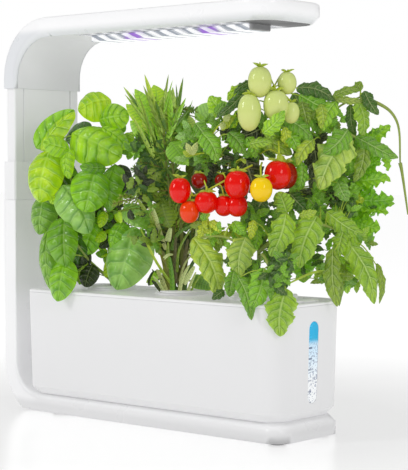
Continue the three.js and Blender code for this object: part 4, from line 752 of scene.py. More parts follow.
def stalk_look(name, rough=0.6, fibres=320):
    """Stems: the tint broken up by lengthwise fibres and darker patches."""
    look = Look(name)
    tint = look.tint()
    place = look.where()
    fibre = look.span(look.noise(place, fibres, 4, 0.65), 0.35, 0.7)
    patch = look.uneven(place, 70, 2, 0, 0.5)
    shade = look.mix(0.55, tint, FIBRE_TINT, "MULTIPLY")
    skin = look.mix(look.times(fibre, 0.6), tint, shade)
    look.bump(fibre, 0.6, FIBRE_DEPTH)
    return look.finish(Base_Color=look.mix(patch, skin, shade), Roughness=rough)


BERRY_RELIEF = 0.2 * MM
CROWN_TINT = (1, 0.85, 0.35, 1)
RIPE_TINT = (0.75, 0.3, 0.1, 1)


def berry_look(name):
    """Ripe skin: tight and glossy, deeper at the foot, paler round the calyx, with faint specks."""
    look = Look(name)
    along = look.spot()[1]
    tint = look.tint()
    place = look.where()
    pale = look.mix(0.5, tint, CROWN_TINT)
    deep = look.mix(0.5, tint, RIPE_TINT, "MULTIPLY")
    body = look.mix(look.span(along, 0.35, 1, 0, 0.5), tint, deep)
    crown = look.mix(look.span(along, 0.02, 0.2, 0.45, 0, smooth=True), body, pale)
    specks = look.span(look.noise(place, 900, 2), 0.62, 0.72, 0, 0.12)
    look.bump(look.noise(place, 160, 2), 0.1, BERRY_RELIEF)
    look.finish(Coat_Weight=0.45, Coat_IOR=1.6, Coat_Roughness=0.12, Specular_IOR_Level=0.1)
    return look.finish(Base_Color=look.mix(specks, crown, pale), Roughness=0.2)


YELLOW_VEIN = (0.8, 0.98, 0.3, 1)
PALE_VEIN = (0.85, 0.95, 0.42, 1)
BASIL_RELIEF = 1.4 * MM
HERB_RELIEF = 0.4 * MM
TOMATO_RELIEF = 1.6 * MM
SALAD_RELIEF = 1.1 * MM
BASIL_SKIN = leaf_look("basil_leaf", 5, 0.7, YELLOW_VEIN, 0.3, 0.03, 0.2, 0.22, BASIL_RELIEF, 0.14)
HERB_SKIN = leaf_look("rosemary_leaf", 9, 0.6, PALE_VEIN, 0.35, 0.1, 0.3, 0.42, HERB_RELIEF, 0.15)
TOMATO_SKIN = leaf_look("tomato_leaf", 6, 0.9, PALE_VEIN, 0.75, 0.3, 0.5, 0.36, TOMATO_RELIEF, 0.12)
SALAD_SKIN = leaf_look("salad_leaf", 7, 0.8, YELLOW_VEIN, 0.4, 0.2, 0.45, 0.34, SALAD_RELIEF, 0.22)
STEM_SKIN = stalk_look("plant_stem")
WOOD_SKIN = stalk_look("woody_stem", 0.75, 420)
BERRY_SKIN = berry_look("berry_skin")

# Tints of leaves, stems and fruit
TINTS = {
    "lime": colour(184, 236, 28),
    "bright": colour(160, 222, 44),
    "fresh": colour(132, 198, 44),
    "mid": colour(106, 164, 32),
    "deep": colour(48, 94, 14),
    # shade: near-black leaves set into gaps as painted shadow, where the plants show only shade
    "shade": colour(8, 26, 2),
    "blue": colour(150, 206, 118),
    "dull": colour(124, 176, 78),
    "olive": colour(132, 162, 44),
    "grey": colour(140, 166, 58),
    "needle": colour(88, 130, 22),
    "silver": colour(182, 212, 100),
    "pale": colour(184, 212, 72),
    "veined": colour(150, 194, 50),
    "vivid": colour(126, 202, 16),
    "frond": colour(154, 222, 40),
    "sprout": colour(210, 228, 60),
    "stem": colour(160, 180, 84),
    "brown": colour(132, 122, 60),
    "wood": colour(134, 142, 70),
    "beige": colour(200, 198, 150),
    "red": colour(236, 10, 0),
    "orange": colour(242, 66, 0),
    "dark_red": colour(150, 20, 4),
    "yellow": colour(252, 212, 8),
    "green_fruit": colour(212, 226, 136),
    "cream": colour(224, 232, 176),
    "bark": colour(100, 86, 66),
    "petal": colour(226, 232, 160),
}

basil_style = LeafStyle(
    rows=20, sides=6, widest=0.42, bluntness=0.54, dome=0.14, cup=0.6, puff=0.3, pairs=5, slope=0.7,
    ruffle=0.05, twist=24, sway=0.04,
)
tomato_style = LeafStyle(
    rows=36, sides=6, widest=0.38, bluntness=0.62, dome=0.1, cup=0.25, puff=0.26, pairs=6, slope=0.9,
    teeth=0.2, tooth_count=10, lobe_depth=0.2, ruffle=0.24, droop=0.08, twist=50, sway=0.07,
)
smooth_style = LeafStyle(rows=10, sides=3, widest=0.42, bluntness=0.7, cup=0.25, twist=30, sway=0.05)
blade_style = LeafStyle(rows=8, sides=2, widest=0.3, bluntness=0.45, dome=0.02, cup=0.0, fold=0.5)
leaflet_style = LeafStyle(
    rows=12, sides=2, widest=0.4, bluntness=0.65, dome=0.1, cup=0.2, teeth=0.3, tooth_count=4, ruffle=0.35,
    droop=0.1, twist=60, sway=0.08,
)
round_style = LeafStyle(
    rows=9, sides=3, widest=0.42, bluntness=0.55, dome=0.14, cup=0.4, twist=30, sway=0.05,
)
needle_style = LeafStyle(rows=4, sides=1, widest=0.35, bluntness=0.4, dome=0.06, cup=0.6)
sepal_style = LeafStyle(rows=5, sides=1, widest=0.25, bluntness=0.5, dome=0.2, cup=0.3)
frond_style = LeafStyle(
    rows=44, sides=5, widest=0.55, bluntness=0.55, dome=0.1, cup=0.1, puff=0.2, pairs=9, slope=0.9,
    teeth=0.22, tooth_count=17, lobes=5, lobe_depth=0.6, ruffle=0.4, ruffle_count=5, twist=60, sway=0.06,
)

PETIOLE = 0.9 * MM
PETIOLE_TIP = 0.6 * MM
STEM_FOOT = 2.2 * MM
WOODY_FOOT = 2.4 * MM
WOODY_TIP = 1.1 * MM
TWIG = 0.7 * MM
TWIG_TIP = 0.4 * MM
SPRAY_LEAVES = 6
SHORTEST_SPRAY_LEAF = 8 * MM
LONGEST_SPRAY_LEAF = 15 * MM
STEM_STEPS = 6
STALK_RISE_SHARE = 0.12
STALK_REACH_SHARE = 0.08
PHASE_STEP = 0.37
ABOVE_WEIGHT = 2
SPRAY_FALL = 0.3
SPRAY_FORWARD = (-0.2, 0.5)
SPRAY_TURN = 40
SPRAY_WIDTH_SHARES = (0.5, 0.75)


def stem_samples(stems):
    found = []
    for points in stems:
        for start, end in zip(points, points[1:]):
            found += [start.lerp(end, step / STEM_STEPS) for step in range(STEM_STEPS + 1)]
    return found


def growth_point(samples, base):
    """The place on a stem that is nearest to a leaf's base, rather below it than above it."""
    return min(samples, key=lambda point: (point - base).length + max(point.z - base.z, 0) * ABOVE_WEIGHT)


def grow_stems(plant, stem_rows, tint, foot=STEM_FOOT, tip=PETIOLE):
    stems = plant.lines(stem_rows)
    for points in stems:
        tube(plant, points, foot, tip, tint)
    return stem_samples(stems)


def grow_leaves(plant, rows, samples, style, petiole_tint):
    for number, row in enumerate(rows):
        start, end, wide, tint, turn = row
        base = plant.at(*start)
        tip = plant.at(*end)
        origin = growth_point(samples, base)
        stalk = bowed(origin, base, 0.5, (origin - base).length * STALK_RISE_SHARE)
        stalk[-1] = base.lerp(tip, STALK_REACH_SHARE)
        tube(plant, stalk, PETIOLE, PETIOLE_TIP, petiole_tint, sides=6)
        leaf(plant, base, tip, wide * plant.size, tint, style, turn, number * PHASE_STEP % 1)


def grow_sprays(plant, rows, samples, style, petiole_tint, chance):
    """Side twigs with small leaves inside a plant. A row: centre, half extents, twigs and tints."""
    for centre, reach, twigs, tints in rows:
        for _ in range(twigs):
            place = [middle + chance.uniform(-half, half) for middle, half in zip(centre, reach)]
            end = plant.at(*place)
            origin = growth_point(samples, end)
            twig = bowed(origin, end, 0.5, (origin - end).length * STALK_RISE_SHARE)
            tube(plant, twig, TWIG, TWIG_TIP, petiole_tint, sides=5)
            for number in range(SPRAY_LEAVES):
                root = twig[1].lerp(end, (number + 1) / SPRAY_LEAVES)
                swing = chance.uniform(0, math.tau)
                aim = RIGHTWARD * math.cos(swing) + UPWARD * (math.sin(swing) - SPRAY_FALL)
                aim -= BACKWARD * chance.uniform(*SPRAY_FORWARD)
                length = chance.uniform(SHORTEST_SPRAY_LEAF, LONGEST_SPRAY_LEAF)
                tip = root + aim.normalized() * length
                tint = chance.choice(tints)
                turn = chance.uniform(-SPRAY_TURN, SPRAY_TURN)
                width = length * chance.uniform(*SPRAY_WIDTH_SHARES)
                leaf(plant, root, tip, width, tint, style, turn, chance.random())


# Basil. A leaf's base and tip (right, up, back), width share, tint and turn in degrees
BASIL_STEMS = (
    ((0, 0, 0), (-0.02, 0.25, -0.02), (-0.06, 0.5, -0.04), (-0.05, 0.72, -0.03), (-0.02, 0.86, 0)),
    ((-0.02, 0.25, -0.02), (-0.14, 0.4, -0.05), (-0.22, 0.6, -0.05), (-0.28, 0.69, -0.04)),
    ((0, 0.04, 0), (-0.12, 0.16, -0.1), (-0.22, 0.32, -0.13)),
    ((-0.01, 0.1, 0), (0.06, 0.22, -0.08), (0.09, 0.36, -0.1)),
)
BASIL_LEAVES = (
    ((0, 0.75, 0.08), (-0.12, 0.7, 0.2), 0.15, "deep", 0),
    ((0, 0.6, 0.06), (0.03, 0.5, 0.16), 0.1, "deep", 0),
    ((-0.15, 0.4, 0.06), (-0.2, 0.28, 0.2), 0.15, "deep", 0),
    ((-0.05, 0.35, 0.05), (-0.02, 0.2, 0.2), 0.14, "shade", 0),
    ((-0.2, 0.62, 0.04), (-0.33, 0.5, 0.1), 0.16, "deep", 0),
    ((-0.1, 0.8, 0.05), (-0.24, 0.74, 0.1), 0.14, "deep", 0),
    ((0.04, 0.62, 0), (0.05, 0.46, 0), 0.12, "shade", 0),
    ((-0.13, 0.5, -0.02), (-0.16, 0.32, -0.04), 0.2, "shade", 0),
    ((-0.25, 0.46, -0.02), (-0.27, 0.28, -0.04), 0.12, "shade", 0),
    ((-0.08, 0.33, -0.05), (-0.13, 0.17, -0.08), 0.13, "fresh", 0),
    ((-0.17, 0.3, -0.06), (-0.2, 0.08, -0.1), 0.15, "deep", 0),
    ((0.02, 0.38, 0.04), (0, 0.22, 0.06), 0.12, "shade", 0),
    ((0.025, 0.79, -0.06), (-0.01, 0.91, -0.06), 0.15, "bright", 12),
    ((-0.06, 0.84, -0.05), (0.09, 0.855, -0.1), 0.14, "bright", -20),
    ((-0.005, 0.94, 0), (-0.165, 0.885, -0.04), 0.19, "lime", -8),
    ((-0.045, 0.805, -0.08), (0.085, 0.7, -0.08), 0.11, "bright", 10),
    ((-0.375, 0.7, -0.03), (-0.185, 0.89, -0.03), 0.13, "fresh", -25),
    ((-0.35, 0.69, -0.05), (-0.18, 0.88, -0.06), 0.11, "lime", 28),
    ((-0.33, 0.475, -0.07), (-0.355, 0.275, -0.09), 0.15, "dull", -20),
    ((-0.31, 0.3, -0.1), (-0.29, 0, -0.14), 0.1, "dull", -15),
    ((-0.09, 0.13, -0.1), (-0.125, 0.02, -0.14), 0.1, "shade", 0),
    ((-0.02, 0.6, -0.15), (-0.145, 0.61, -0.2), 0.07, "mid", 0),
    ((0.02, 0.62, -0.1), (-0.01, 0.39, -0.15), 0.14, "mid", -22),
    ((-0.07, 0.6, -0.16), (-0.12, 0.39, -0.22), 0.2, "fresh", 8),
    ((-0.235, 0.52, -0.12), (-0.1, 0.285, -0.17), 0.19, "blue", 14),
    ((-0.225, 0.365, -0.16), (-0.215, 0.12, -0.21), 0.155, "mid", 15),
    ((-0.22, 0.165, -0.17), (-0.255, -0.045, -0.21), 0.14, "fresh", -8),
    ((0.07, 0.425, -0.1), (0.19, 0.32, -0.14), 0.13, "blue", 18),
    ((0.06, 0.34, -0.13), (0.01, 0.2, -0.15), 0.12, "fresh", -20),
    ((0.12, 0.315, -0.14), (0.03, 0.01, -0.18), 0.235, "blue", -10),
    ((-0.19, 0.775, -0.1), (0.055, 0.655, -0.14), 0.215, "bright", 8),
    ((-0.3, 0.69, -0.1), (-0.345, 0.435, -0.14), 0.19, "lime", -10),
    ((-0.2, 0.695, -0.14), (-0.325, 0.73, -0.17), 0.1, "bright", 0),
    ((-0.205, 0.7, -0.14), (-0.2, 0.55, -0.18), 0.075, "bright", -12),
    ((-0.29, 0.48, -0.12), (-0.275, 0.425, -0.14), 0.05, "lime", 0),
    ((-0.03, 0.39, -0.1), (-0.055, 0.31, -0.11), 0.05, "lime", 0),
    ((0.03, 0.39, -0.02), (0.03, 0.33, -0.03), 0.035, "lime", 0),
    ((-0.03, 0.29, -0.08), (-0.075, 0.24, -0.1), 0.05, "lime", 0),
    ((0, 0.27, -0.05), (-0.06, 0.21, -0.07), 0.07, "shade", 0),
    ((-0.12, 0.16, -0.08), (-0.165, 0.04, -0.1), 0.06, "olive", 0),
    ((-0.01, 0.15, -0.05), (-0.03, 0.06, -0.06), 0.05, "lime", 0),
)
BASIL_SPRAYS = (
    ((0.09, 0.76, 0.08), (0.03, 0.06, 0.02), 4, ("bright", "lime", "fresh")),
    ((0.02, 0.5, 0.03), (0.06, 0.1, 0.03), 6, ("shade", "deep", "mid")),
    ((-0.02, 0.72, 0.03), (0.06, 0.05, 0.02), 3, ("deep", "mid", "bright")),
    ((-0.14, 0.42, 0.0), (0.1, 0.12, 0.03), 7, ("shade", "deep")),
    ((-0.04, 0.27, -0.02), (0.07, 0.1, 0.03), 7, ("shade", "deep", "mid", "lime")),
    ((-0.17, 0.14, -0.08), (0.07, 0.08, 0.03), 4, ("shade", "deep", "mid")),
    ((-0.24, 0.6, 0.0), (0.06, 0.06, 0.02), 3, ("deep", "mid", "lime")),
)


def build_basil():
    plant = Plant(0, BASIL_SIZE)
    chance = random.Random(3)
    samples = grow_stems(plant, BASIL_STEMS, "stem")
    grow_leaves(plant, BASIL_LEAVES, samples, basil_style, "pale")
    grow_sprays(plant, BASIL_SPRAYS, samples, round_style, "pale", chance)
    plant.build("basil", (BASIL_SKIN, STEM_SKIN), "pod_1", "basil_plant")


# Rosemary: woody stems, long blades, broad leaves at the back, needled sprigs and cut straps at the foot
ROSEMARY_STEMS = (
    ((0, 0, 0), (-0.05, 0.2, 0), (-0.09, 0.42, 0.02), (-0.12, 0.7, 0.06)),
    ((0, 0, 0), (-0.035, 0.25, 0), (-0.055, 0.48, 0), (-0.08, 0.71, 0.04)),
    ((0, 0, 0), (0, 0.3, 0), (-0.03, 0.5, 0), (-0.05, 0.72, 0.03), (-0.03, 0.84, 0.04)),
    ((0, 0, 0), (0.03, 0.2, 0.03), (0.06, 0.32, 0.05), (0.09, 0.42, 0.07)),
    ((0, 0, 0), (-0.07, 0.07, -0.03), (-0.12, 0.095, -0.04)),
    ((0, 0, 0), (0.03, 0.1, -0.01), (0.06, 0.16, 0)),
)
ROSEMARY_BLADES = (
    ((-0.11, 0.72, 0.1), (-0.28, 0.957, 0.34), 0.024, "silver", 0),
    ((-0.115, 0.7, 0.08), (-0.235, 0.84, 0.2), 0.026, "pale", 20),
    ((-0.075, 0.68, 0.05), (-0.17, 1, 0.09), 0.032, "pale", 0),
    ((-0.045, 0.72, 0.04), (-0.04, 0.94, 0.06), 0.036, "silver", 0),
    ((-0.02, 0.8, 0.04), (0.007, 0.985, 0.06), 0.014, "needle", 0),
    ((-0.07, 0.69, 0.03), (0.02, 0.89, 0.02), 0.026, "bright", 0),
    ((-0.135, 0.7, 0.1), (-0.225, 0.75, 0.17), 0.024, "deep", 0),
    ((-0.08, 0.68, 0.05), (-0.13, 0.88, 0.08), 0.03, "silver", 0),
    ((-0.09, 0.8, 0.06), (-0.06, 1, 0.08), 0.014, "grey", 0),
    ((-0.11, 0.81, 0.07), (-0.08, 0.855, 0.08), 0.02, "silver", 0),
    ((-0.23, 0.848, 0.2), (-0.255, 0.853, 0.24), 0.012, "pale", 0),
    ((-0.055, 0.73, 0.05), (-0.075, 0.93, 0.06), 0.03, "silver", 10),
    ((-0.295, 0.375, 0), (-0.275, 0.32, -0.01), 0.03, "lime", 0),
    ((0.04, 0.06, 0), (0.145, 0.03, -0.02), 0.07, "dull", 0),
    ((-0.1, 0.1, -0.03), (-0.15, 0.04, -0.04), 0.05, "shade", 0),
)
ROSEMARY_BROAD = (
    ((-0.13, 0.8, 0.14), (-0.22, 0.94, 0.21), 0.07, "bright", 0),
    ((-0.1, 0.84, 0.12), (-0.13, 0.955, 0.14), 0.09, "lime", 0),
    ((-0.13, 0.72, 0.13), (-0.2, 0.88, 0.24), 0.07, "lime", 0),
    ((-0.08, 0.8, 0.1), (-0.05, 0.93, 0.12), 0.09, "silver", 0),
    ((0.06, 0.8, 0.14), (0.18, 0.86, 0.16), 0.1, "blue", 0),
    ((0, 0.81, 0.08), (0.06, 0.72, 0.1), 0.07, "silver", 0),
    ((-0.09, 0.43, 0.01), (-0.05, 0.3, -0.02), 0.12, "olive", 0),
    ((-0.05, 0.69, 0.01), (0.02, 0.585, -0.02), 0.11, "fresh", 0),
    ((-0.1, 0.59, 0.02), (-0.13, 0.49, 0), 0.1, "grey", 0),
    ((-0.11, 0.64, 0.04), (-0.2, 0.52, 0.02), 0.1, "deep", 0),
    ((-0.02, 0.57, 0.02), (-0.05, 0.43, 0.02), 0.12, "deep", 0),
    ((0, 0.42, 0.03), (0.02, 0.28, 0.03), 0.12, "deep", 0),
    ((-0.1, 0.4, 0.03), (-0.13, 0.24, 0.03), 0.12, "deep", 0),
    ((-0.03, 0.3, 0.03), (-0.02, 0.12, 0.02), 0.12, "shade", 0),
    ((0.06, 0.3, 0.05), (0.1, 0.14, 0.04), 0.1, "shade", 0),
    ((-0.12, 0.7, 0.12), (-0.24, 0.79, 0.16), 0.09, "bright", 0),
    ((0.04, 0.62, 0.12), (0.1, 0.42, 0.12), 0.1, "shade", 0),
    ((0.05, 0.46, 0.12), (0.08, 0.26, 0.1), 0.1, "shade", 0),
    ((-0.14, 0.65, 0.1), (-0.25, 0.68, 0.12), 0.09, "fresh", 0),
    ((-0.16, 0.76, 0.14), (-0.26, 0.87, 0.2), 0.07, "lime", 0),
    ((-0.05, 0.72, 0.08), (0.03, 0.79, 0.1), 0.1, "mid", 0),
    ((0.02, 0.74, 0.1), (0.11, 0.7, 0.1), 0.1, "fresh", 0),
    ((0.04, 0.66, 0.08), (0.1, 0.58, 0.08), 0.1, "deep", 0),
)
# A sprig's start and end, its number of needles, their length in millimetres and tint
SPRIGS = (
    ((-0.05, 0.45, 0), (-0.31, 0.41, 0), 60, 7, "grey"),
    ((-0.06, 0.47, 0), (-0.28, 0.44, 0), 50, 7, "olive"),
    ((-0.06, 0.62, 0.02), (-0.22, 0.66, 0.06), 60, 10, "needle"),
    ((-0.06, 0.64, 0.02), (-0.2, 0.7, 0.06), 50, 9, "deep"),
    ((-0.06, 0.56, 0.01), (-0.19, 0.6, 0.02), 50, 10, "deep"),
    ((-0.06, 0.52, 0.01), (-0.2, 0.52, 0.02), 50, 9, "deep"),
    ((-0.044, 0.66, 0.022), (0.03, 0.6, 0.02), 26, 9, "needle"),
    ((-0.03, 0.835, 0.04), (0.06, 0.835, 0.05), 36, 8, "needle"),
    ((0, 0.3, 0), (0.05, 0.37, 0.02), 30, 9, "needle"),
    ((-0.03, 0.38, 0), (-0.16, 0.47, 0.01), 44, 9, "olive"),
    ((-0.02, 0.3, 0), (-0.04, 0.44, -0.01), 50, 10, "olive"),
    ((-0.09, 0.42, 0.02), (-0.12, 0.7, 0.06), 60, 12, "deep"),
    ((-0.055, 0.48, 0), (-0.08, 0.71, 0.04), 50, 12, "needle"),
    ((-0.03, 0.5, 0), (-0.05, 0.72, 0.03), 50, 12, "needle"),
    ((-0.05, 0.72, 0.03), (-0.03, 0.84, 0.04), 30, 11, "grey"),
    ((-0.08, 0.71, 0.04), (-0.13, 0.88, 0.08), 30, 12, "grey"),
    ((0.03, 0.2, 0.03), (0.09, 0.42, 0.07), 40, 11, "deep"),
    ((-0.05, 0.3, 0.01), (-0.14, 0.46, 0.02), 40, 9, "deep"),
    ((-0.06, 0.5, 0.01), (-0.22, 0.57, 0.03), 50, 9, "needle"),
    ((-0.05, 0.6, 0.02), (-0.2, 0.72, 0.08), 50, 10, "needle"),
    ((-0.07, 0.07, -0.03), (-0.12, 0.095, -0.04), 14, 8, "deep"),
)
COMPANIONS = 2
BLADE_TINTS = ("silver", "pale", "grey", "bright", "needle")
FAN_TINTS = ("silver", "pale", "bright", "needle", "grey", "vivid")
FAN_BLADES = 34
FAN_RIGHT_SHARES = (-0.14, -0.01)
FAN_UP_SHARES = (0.52, 0.74)
FAN_BACK_SHARES = (0.02, 0.09)
FAN_CENTRE_SHARE = 0.07
FAN_SWAY_SHARE = 0.05
FAN_LEAN_SHARE = 1.3
FAN_LENGTH_SHARES = (0.12, 0.24)
FAN_TIP_BACK_SHARE = 0.03
FAN_WIDTH_SHARES = (0.011, 0.02)
FAN_TURN = 20
THIN_NEEDLE = 1.5 * MM
WIDE_NEEDLE = 2.3 * MM
NEEDLE_TURN = 2.4
NEEDLE_SWING = 0.3
NEEDLE_LEAN_SHARES = (0.5, 0.85)
NEEDLE_LENGTH_SHARES = (0.75, 1.1)
TOP_SHORTER_SHARE = 0.35
OWN_TINT_SHARE = 0.7
SPRIG_RISE_SHARE = 0.04
COMPANION_LENGTH_SHARES = (0.72, 0.97)
COMPANION_WIDTH_SHARE = 0.7
COMPANION_ROOT_SHARE = 0.012
COMPANION_TIP_SHARE = 0.03

# Straps at the foot: points (right, up, back), width share and tint
STRAPS = (
    (((-0.04, 0, 0), (-0.043, 0.085, -0.01), (-0.054, 0.171, -0.01)), 0.022, "mid"),
    (((-0.054, 0, 0.01), (-0.075, 0.15, 0.02), (-0.117, 0.27, 0.02), (-0.15, 0.31, 0.02)), 0.03, "brown"),
    (((-0.062, 0.24, 0), (-0.056, 0.27, 0), (-0.048, 0.301, 0)), 0.027, "cream"),
    (((-0.08, 0.163, -0.01), (-0.06, 0.18, -0.015), (-0.037, 0.182, -0.01)), 0.014, "cream"),
    (((-0.055, 0.12, 0), (-0.061, 0.171, 0), (-0.06, 0.24, 0)), 0.018, "grey"),
    (((-0.025, 0.05, 0), (-0.03, 0.162, 0.01), (-0.025, 0.262, 0.01)), 0.018, "bark"),
    (((-0.01, 0, -0.01), (0.003, 0.071, -0.02), (0.036, 0.135, -0.02)), 0.018, "cream"),
    (((0.008, 0.05, -0.02), (0.03, 0.08, -0.025), (0.059, 0.13, -0.03)), 0.027, "cream"),
    (((0.023, 0, -0.01), (0.041, 0.048, -0.02), (0.066, 0.104, -0.03)), 0.014, "cream"),
    (((0.036, 0, -0.01), (0.06, 0.05, -0.02), (0.09, 0.097, -0.03)), 0.01, "olive"),
    (((-0.045, 0.2, 0.01), (-0.02, 0.27, 0.02), (0.046, 0.314, 0.02)), 0.018, "needle"),
    (((-0.02, 0.1, 0), (-0.01, 0.204, 0.01), (0.05, 0.311, 0.02)), 0.012, "olive"),
    (((-0.01, 0.06, 0), (0.014, 0.137, 0), (0.05, 0.185, 0)), 0.01, "beige"),
    (((-0.064, 0, 0), (-0.09, 0.071, -0.01), (-0.11, 0.115, -0.02)), 0.023, "beige"),
    (((-0.07, 0, -0.01), (-0.1, 0.05, -0.02), (-0.127, 0.087, -0.03)), 0.014, "cream"),
    (((-0.075, 0, -0.005), (-0.105, 0.035, -0.01), (-0.132, 0.066, -0.02)), 0.02, "shade"),
    (((-0.047, 0.05, 0), (-0.12, 0.161, -0.01), (-0.187, 0.304, 0)), 0.013, "pale"),
    (((-0.07, 0.2, 0.01), (-0.117, 0.344, 0), (-0.15, 0.394, 0)), 0.018, "beige"),
    (((-0.11, 0.3, 0.01), (-0.15, 0.36, 0), (-0.197, 0.431, 0)), 0.022, "grey"),
    (((-0.105, 0.32, 0), (-0.118, 0.365, -0.01), (-0.13, 0.394, -0.01)), 0.014, "cream"),
    (((0.03, 0.18, 0.03), (0.064, 0.257, 0.03), (0.068, 0.325, 0.03)), 0.012, "cream"),
    (((0.05, 0.2, 0.03), (0.106, 0.259, 0.03), (0.127, 0.3, 0.03)), 0.022, "cream"),
    (((0.04, 0.2, 0.03), (0.073, 0.262, 0.03), (0.09, 0.325, 0.04)), 0.01, "pale"),
    (((0.05, 0.22, 0.04), (0.09, 0.257, 0.04), (0.105, 0.316, 0.04)), 0.01, "olive"),
    (((0, 0, 0), (0.01, 0.14, 0.02), (0.03, 0.25, 0.02)), 0.02, "bark"),
    (((-0.03, 0, 0.01), (-0.05, 0.14, 0.02), (-0.09, 0.25, 0.02)), 0.025, "deep"),
    (((0.01, 0, 0), (0.03, 0.1, 0.01), (0.08, 0.19, 0.02)), 0.02, "deep"),
)
STRAP_FORWARD = 0.05
STRAP_STEPS = 5
STRAP_TIP = 0.45
STRAP_FOLD = 0.5


def strap(plant, points, width, tint):
    """A flat blade with a folded midline that bends through its points and narrows to a cut end."""
    line = curve_through(points, STRAP_STEPS)
    rows = []
    for point, share, side, face in sections(line):
        half = width / 2 * (1 - (1 - STRAP_TIP) * share**3)
        rows.append([point - side * half, point - face * (half * STRAP_FOLD), point + side * half])
    plant.sheet(rows, tint, BLADE)


def needle_sprig(plant, start, end, count, length, tint, chance):
    line = end - start
    along = line.normalized()
    side = along.cross(LEAF_FACE).normalized()
    upper = side.cross(along)
    twig = bowed(start, end, 0.5, line.length * SPRIG_RISE_SHARE)
    tube(plant, twig, PETIOLE, PETIOLE_TIP, "brown", sides=6)
    for number in range(count):
        share = (number + 1) / count
        angle = number * NEEDLE_TURN + chance.uniform(-NEEDLE_SWING, NEEDLE_SWING)
        lean = chance.uniform(*NEEDLE_LEAN_SHARES)
        outward = around(side, upper, angle)
        root = start + line * share
        reach = length * MM * chance.uniform(*NEEDLE_LENGTH_SHARES) * (1 - TOP_SHORTER_SHARE * share)
        tip = root + (outward * lean + along * (1.2 - lean)).normalized() * reach
        shade = tint if chance.random() < OWN_TINT_SHARE else "grey"
        leaf(plant, root, tip, chance.uniform(THIN_NEEDLE, WIDE_NEEDLE), shade, needle_style)


ROSEMARY_SPRAYS = (
    ((-0.18, 0.3, -0.05), (0.05, 0.08, 0.02), 7, ("olive", "shade", "mid")),
    ((-0.2, 0.48, -0.05), (0.05, 0.08, 0.02), 6, ("shade", "olive", "deep")),
    ((-0.16, 0.62, 0.04), (0.07, 0.08, 0.02), 8, ("deep", "needle", "mid")),
    ((-0.12, 0.48, 0.02), (0.08, 0.08, 0.02), 8, ("deep", "shade", "needle")),
    ((-0.02, 0.5, 0.02), (0.05, 0.1, 0.02), 8, ("deep", "needle", "olive")),
    ((-0.02, 0.72, 0.04), (0.06, 0.06, 0.02), 6, ("mid", "bright", "deep")),
    ((0.05, 0.3, 0.04), (0.05, 0.08, 0.01), 6, ("deep", "olive", "mid")),
    ((-0.08, 0.3, 0.03), (0.06, 0.08, 0.01), 6, ("shade", "deep", "olive")),
)


def blade_companions(rows, chance):
    """Thinner, shorter blades beside each long one."""
    found = []
    for start, end, width, _, turn in rows:
        for _ in range(COMPANIONS):
            nudge = COMPANION_ROOT_SHARE
            root = [value + chance.uniform(-nudge, nudge) for value in start]
            share = chance.uniform(*COMPANION_LENGTH_SHARES)
            nudge = COMPANION_TIP_SHARE
            tip = [a + (b - a) * share + chance.uniform(-nudge, nudge) for a, b in zip(root, end)]
            found.append((root, tip, width * COMPANION_WIDTH_SHARE, chance.choice(BLADE_TINTS), turn))
    return found


def fan_blades(chance):
    """Long thin leaves that fan out from the top of the shoots."""
    rows = []
    for _ in range(FAN_BLADES):
        right = chance.uniform(*FAN_RIGHT_SHARES)
        up = chance.uniform(*FAN_UP_SHARES)
        back = chance.uniform(*FAN_BACK_SHARES)
        lean = right + FAN_CENTRE_SHARE + chance.uniform(-FAN_SWAY_SHARE, FAN_SWAY_SHARE)
        tip_up = up + chance.uniform(*FAN_LENGTH_SHARES)
        end = (right + lean * FAN_LEAN_SHARE, tip_up, back + FAN_TIP_BACK_SHARE)
        width = chance.uniform(*FAN_WIDTH_SHARES)
        tint = chance.choice(FAN_TINTS)
        rows.append(((right, up, back), end, width, tint, chance.uniform(-FAN_TURN, FAN_TURN)))
    return rows


def build_rosemary():
    plant = Plant(1, ROSEMARY_SIZE)
    chance = random.Random(11)
    samples = grow_stems(plant, ROSEMARY_STEMS, "wood", WOODY_FOOT, WOODY_TIP)
    grow_leaves(plant, ROSEMARY_BLADES, samples, blade_style, "olive")
    grow_leaves(plant, blade_companions(ROSEMARY_BLADES, chance), samples, blade_style, "olive")
    grow_leaves(plant, fan_blades(chance), samples, blade_style, "olive")
    grow_leaves(plant, ROSEMARY_BROAD, samples, smooth_style, "olive")
    for start, end, count, length, tint in SPRIGS:
        needle_sprig(plant, plant.at(*start), plant.at(*end), count, length, tint, chance)
    grow_sprays(plant, ROSEMARY_SPRAYS, samples, leaflet_style, "olive", chance)
    for places, width, tint in STRAPS:
        points = [plant.at(right, up, back - STRAP_FORWARD) for right, up, back in places]
        strap(plant, points, width * plant.size, tint)
        tube(plant, [growth_point(samples, points[0]), points[0]], PETIOLE, PETIOLE_TIP, "wood")
    plant.build("rosemary", (HERB_SKIN, WOOD_SKIN), "pod_2", "rosemary_plant")


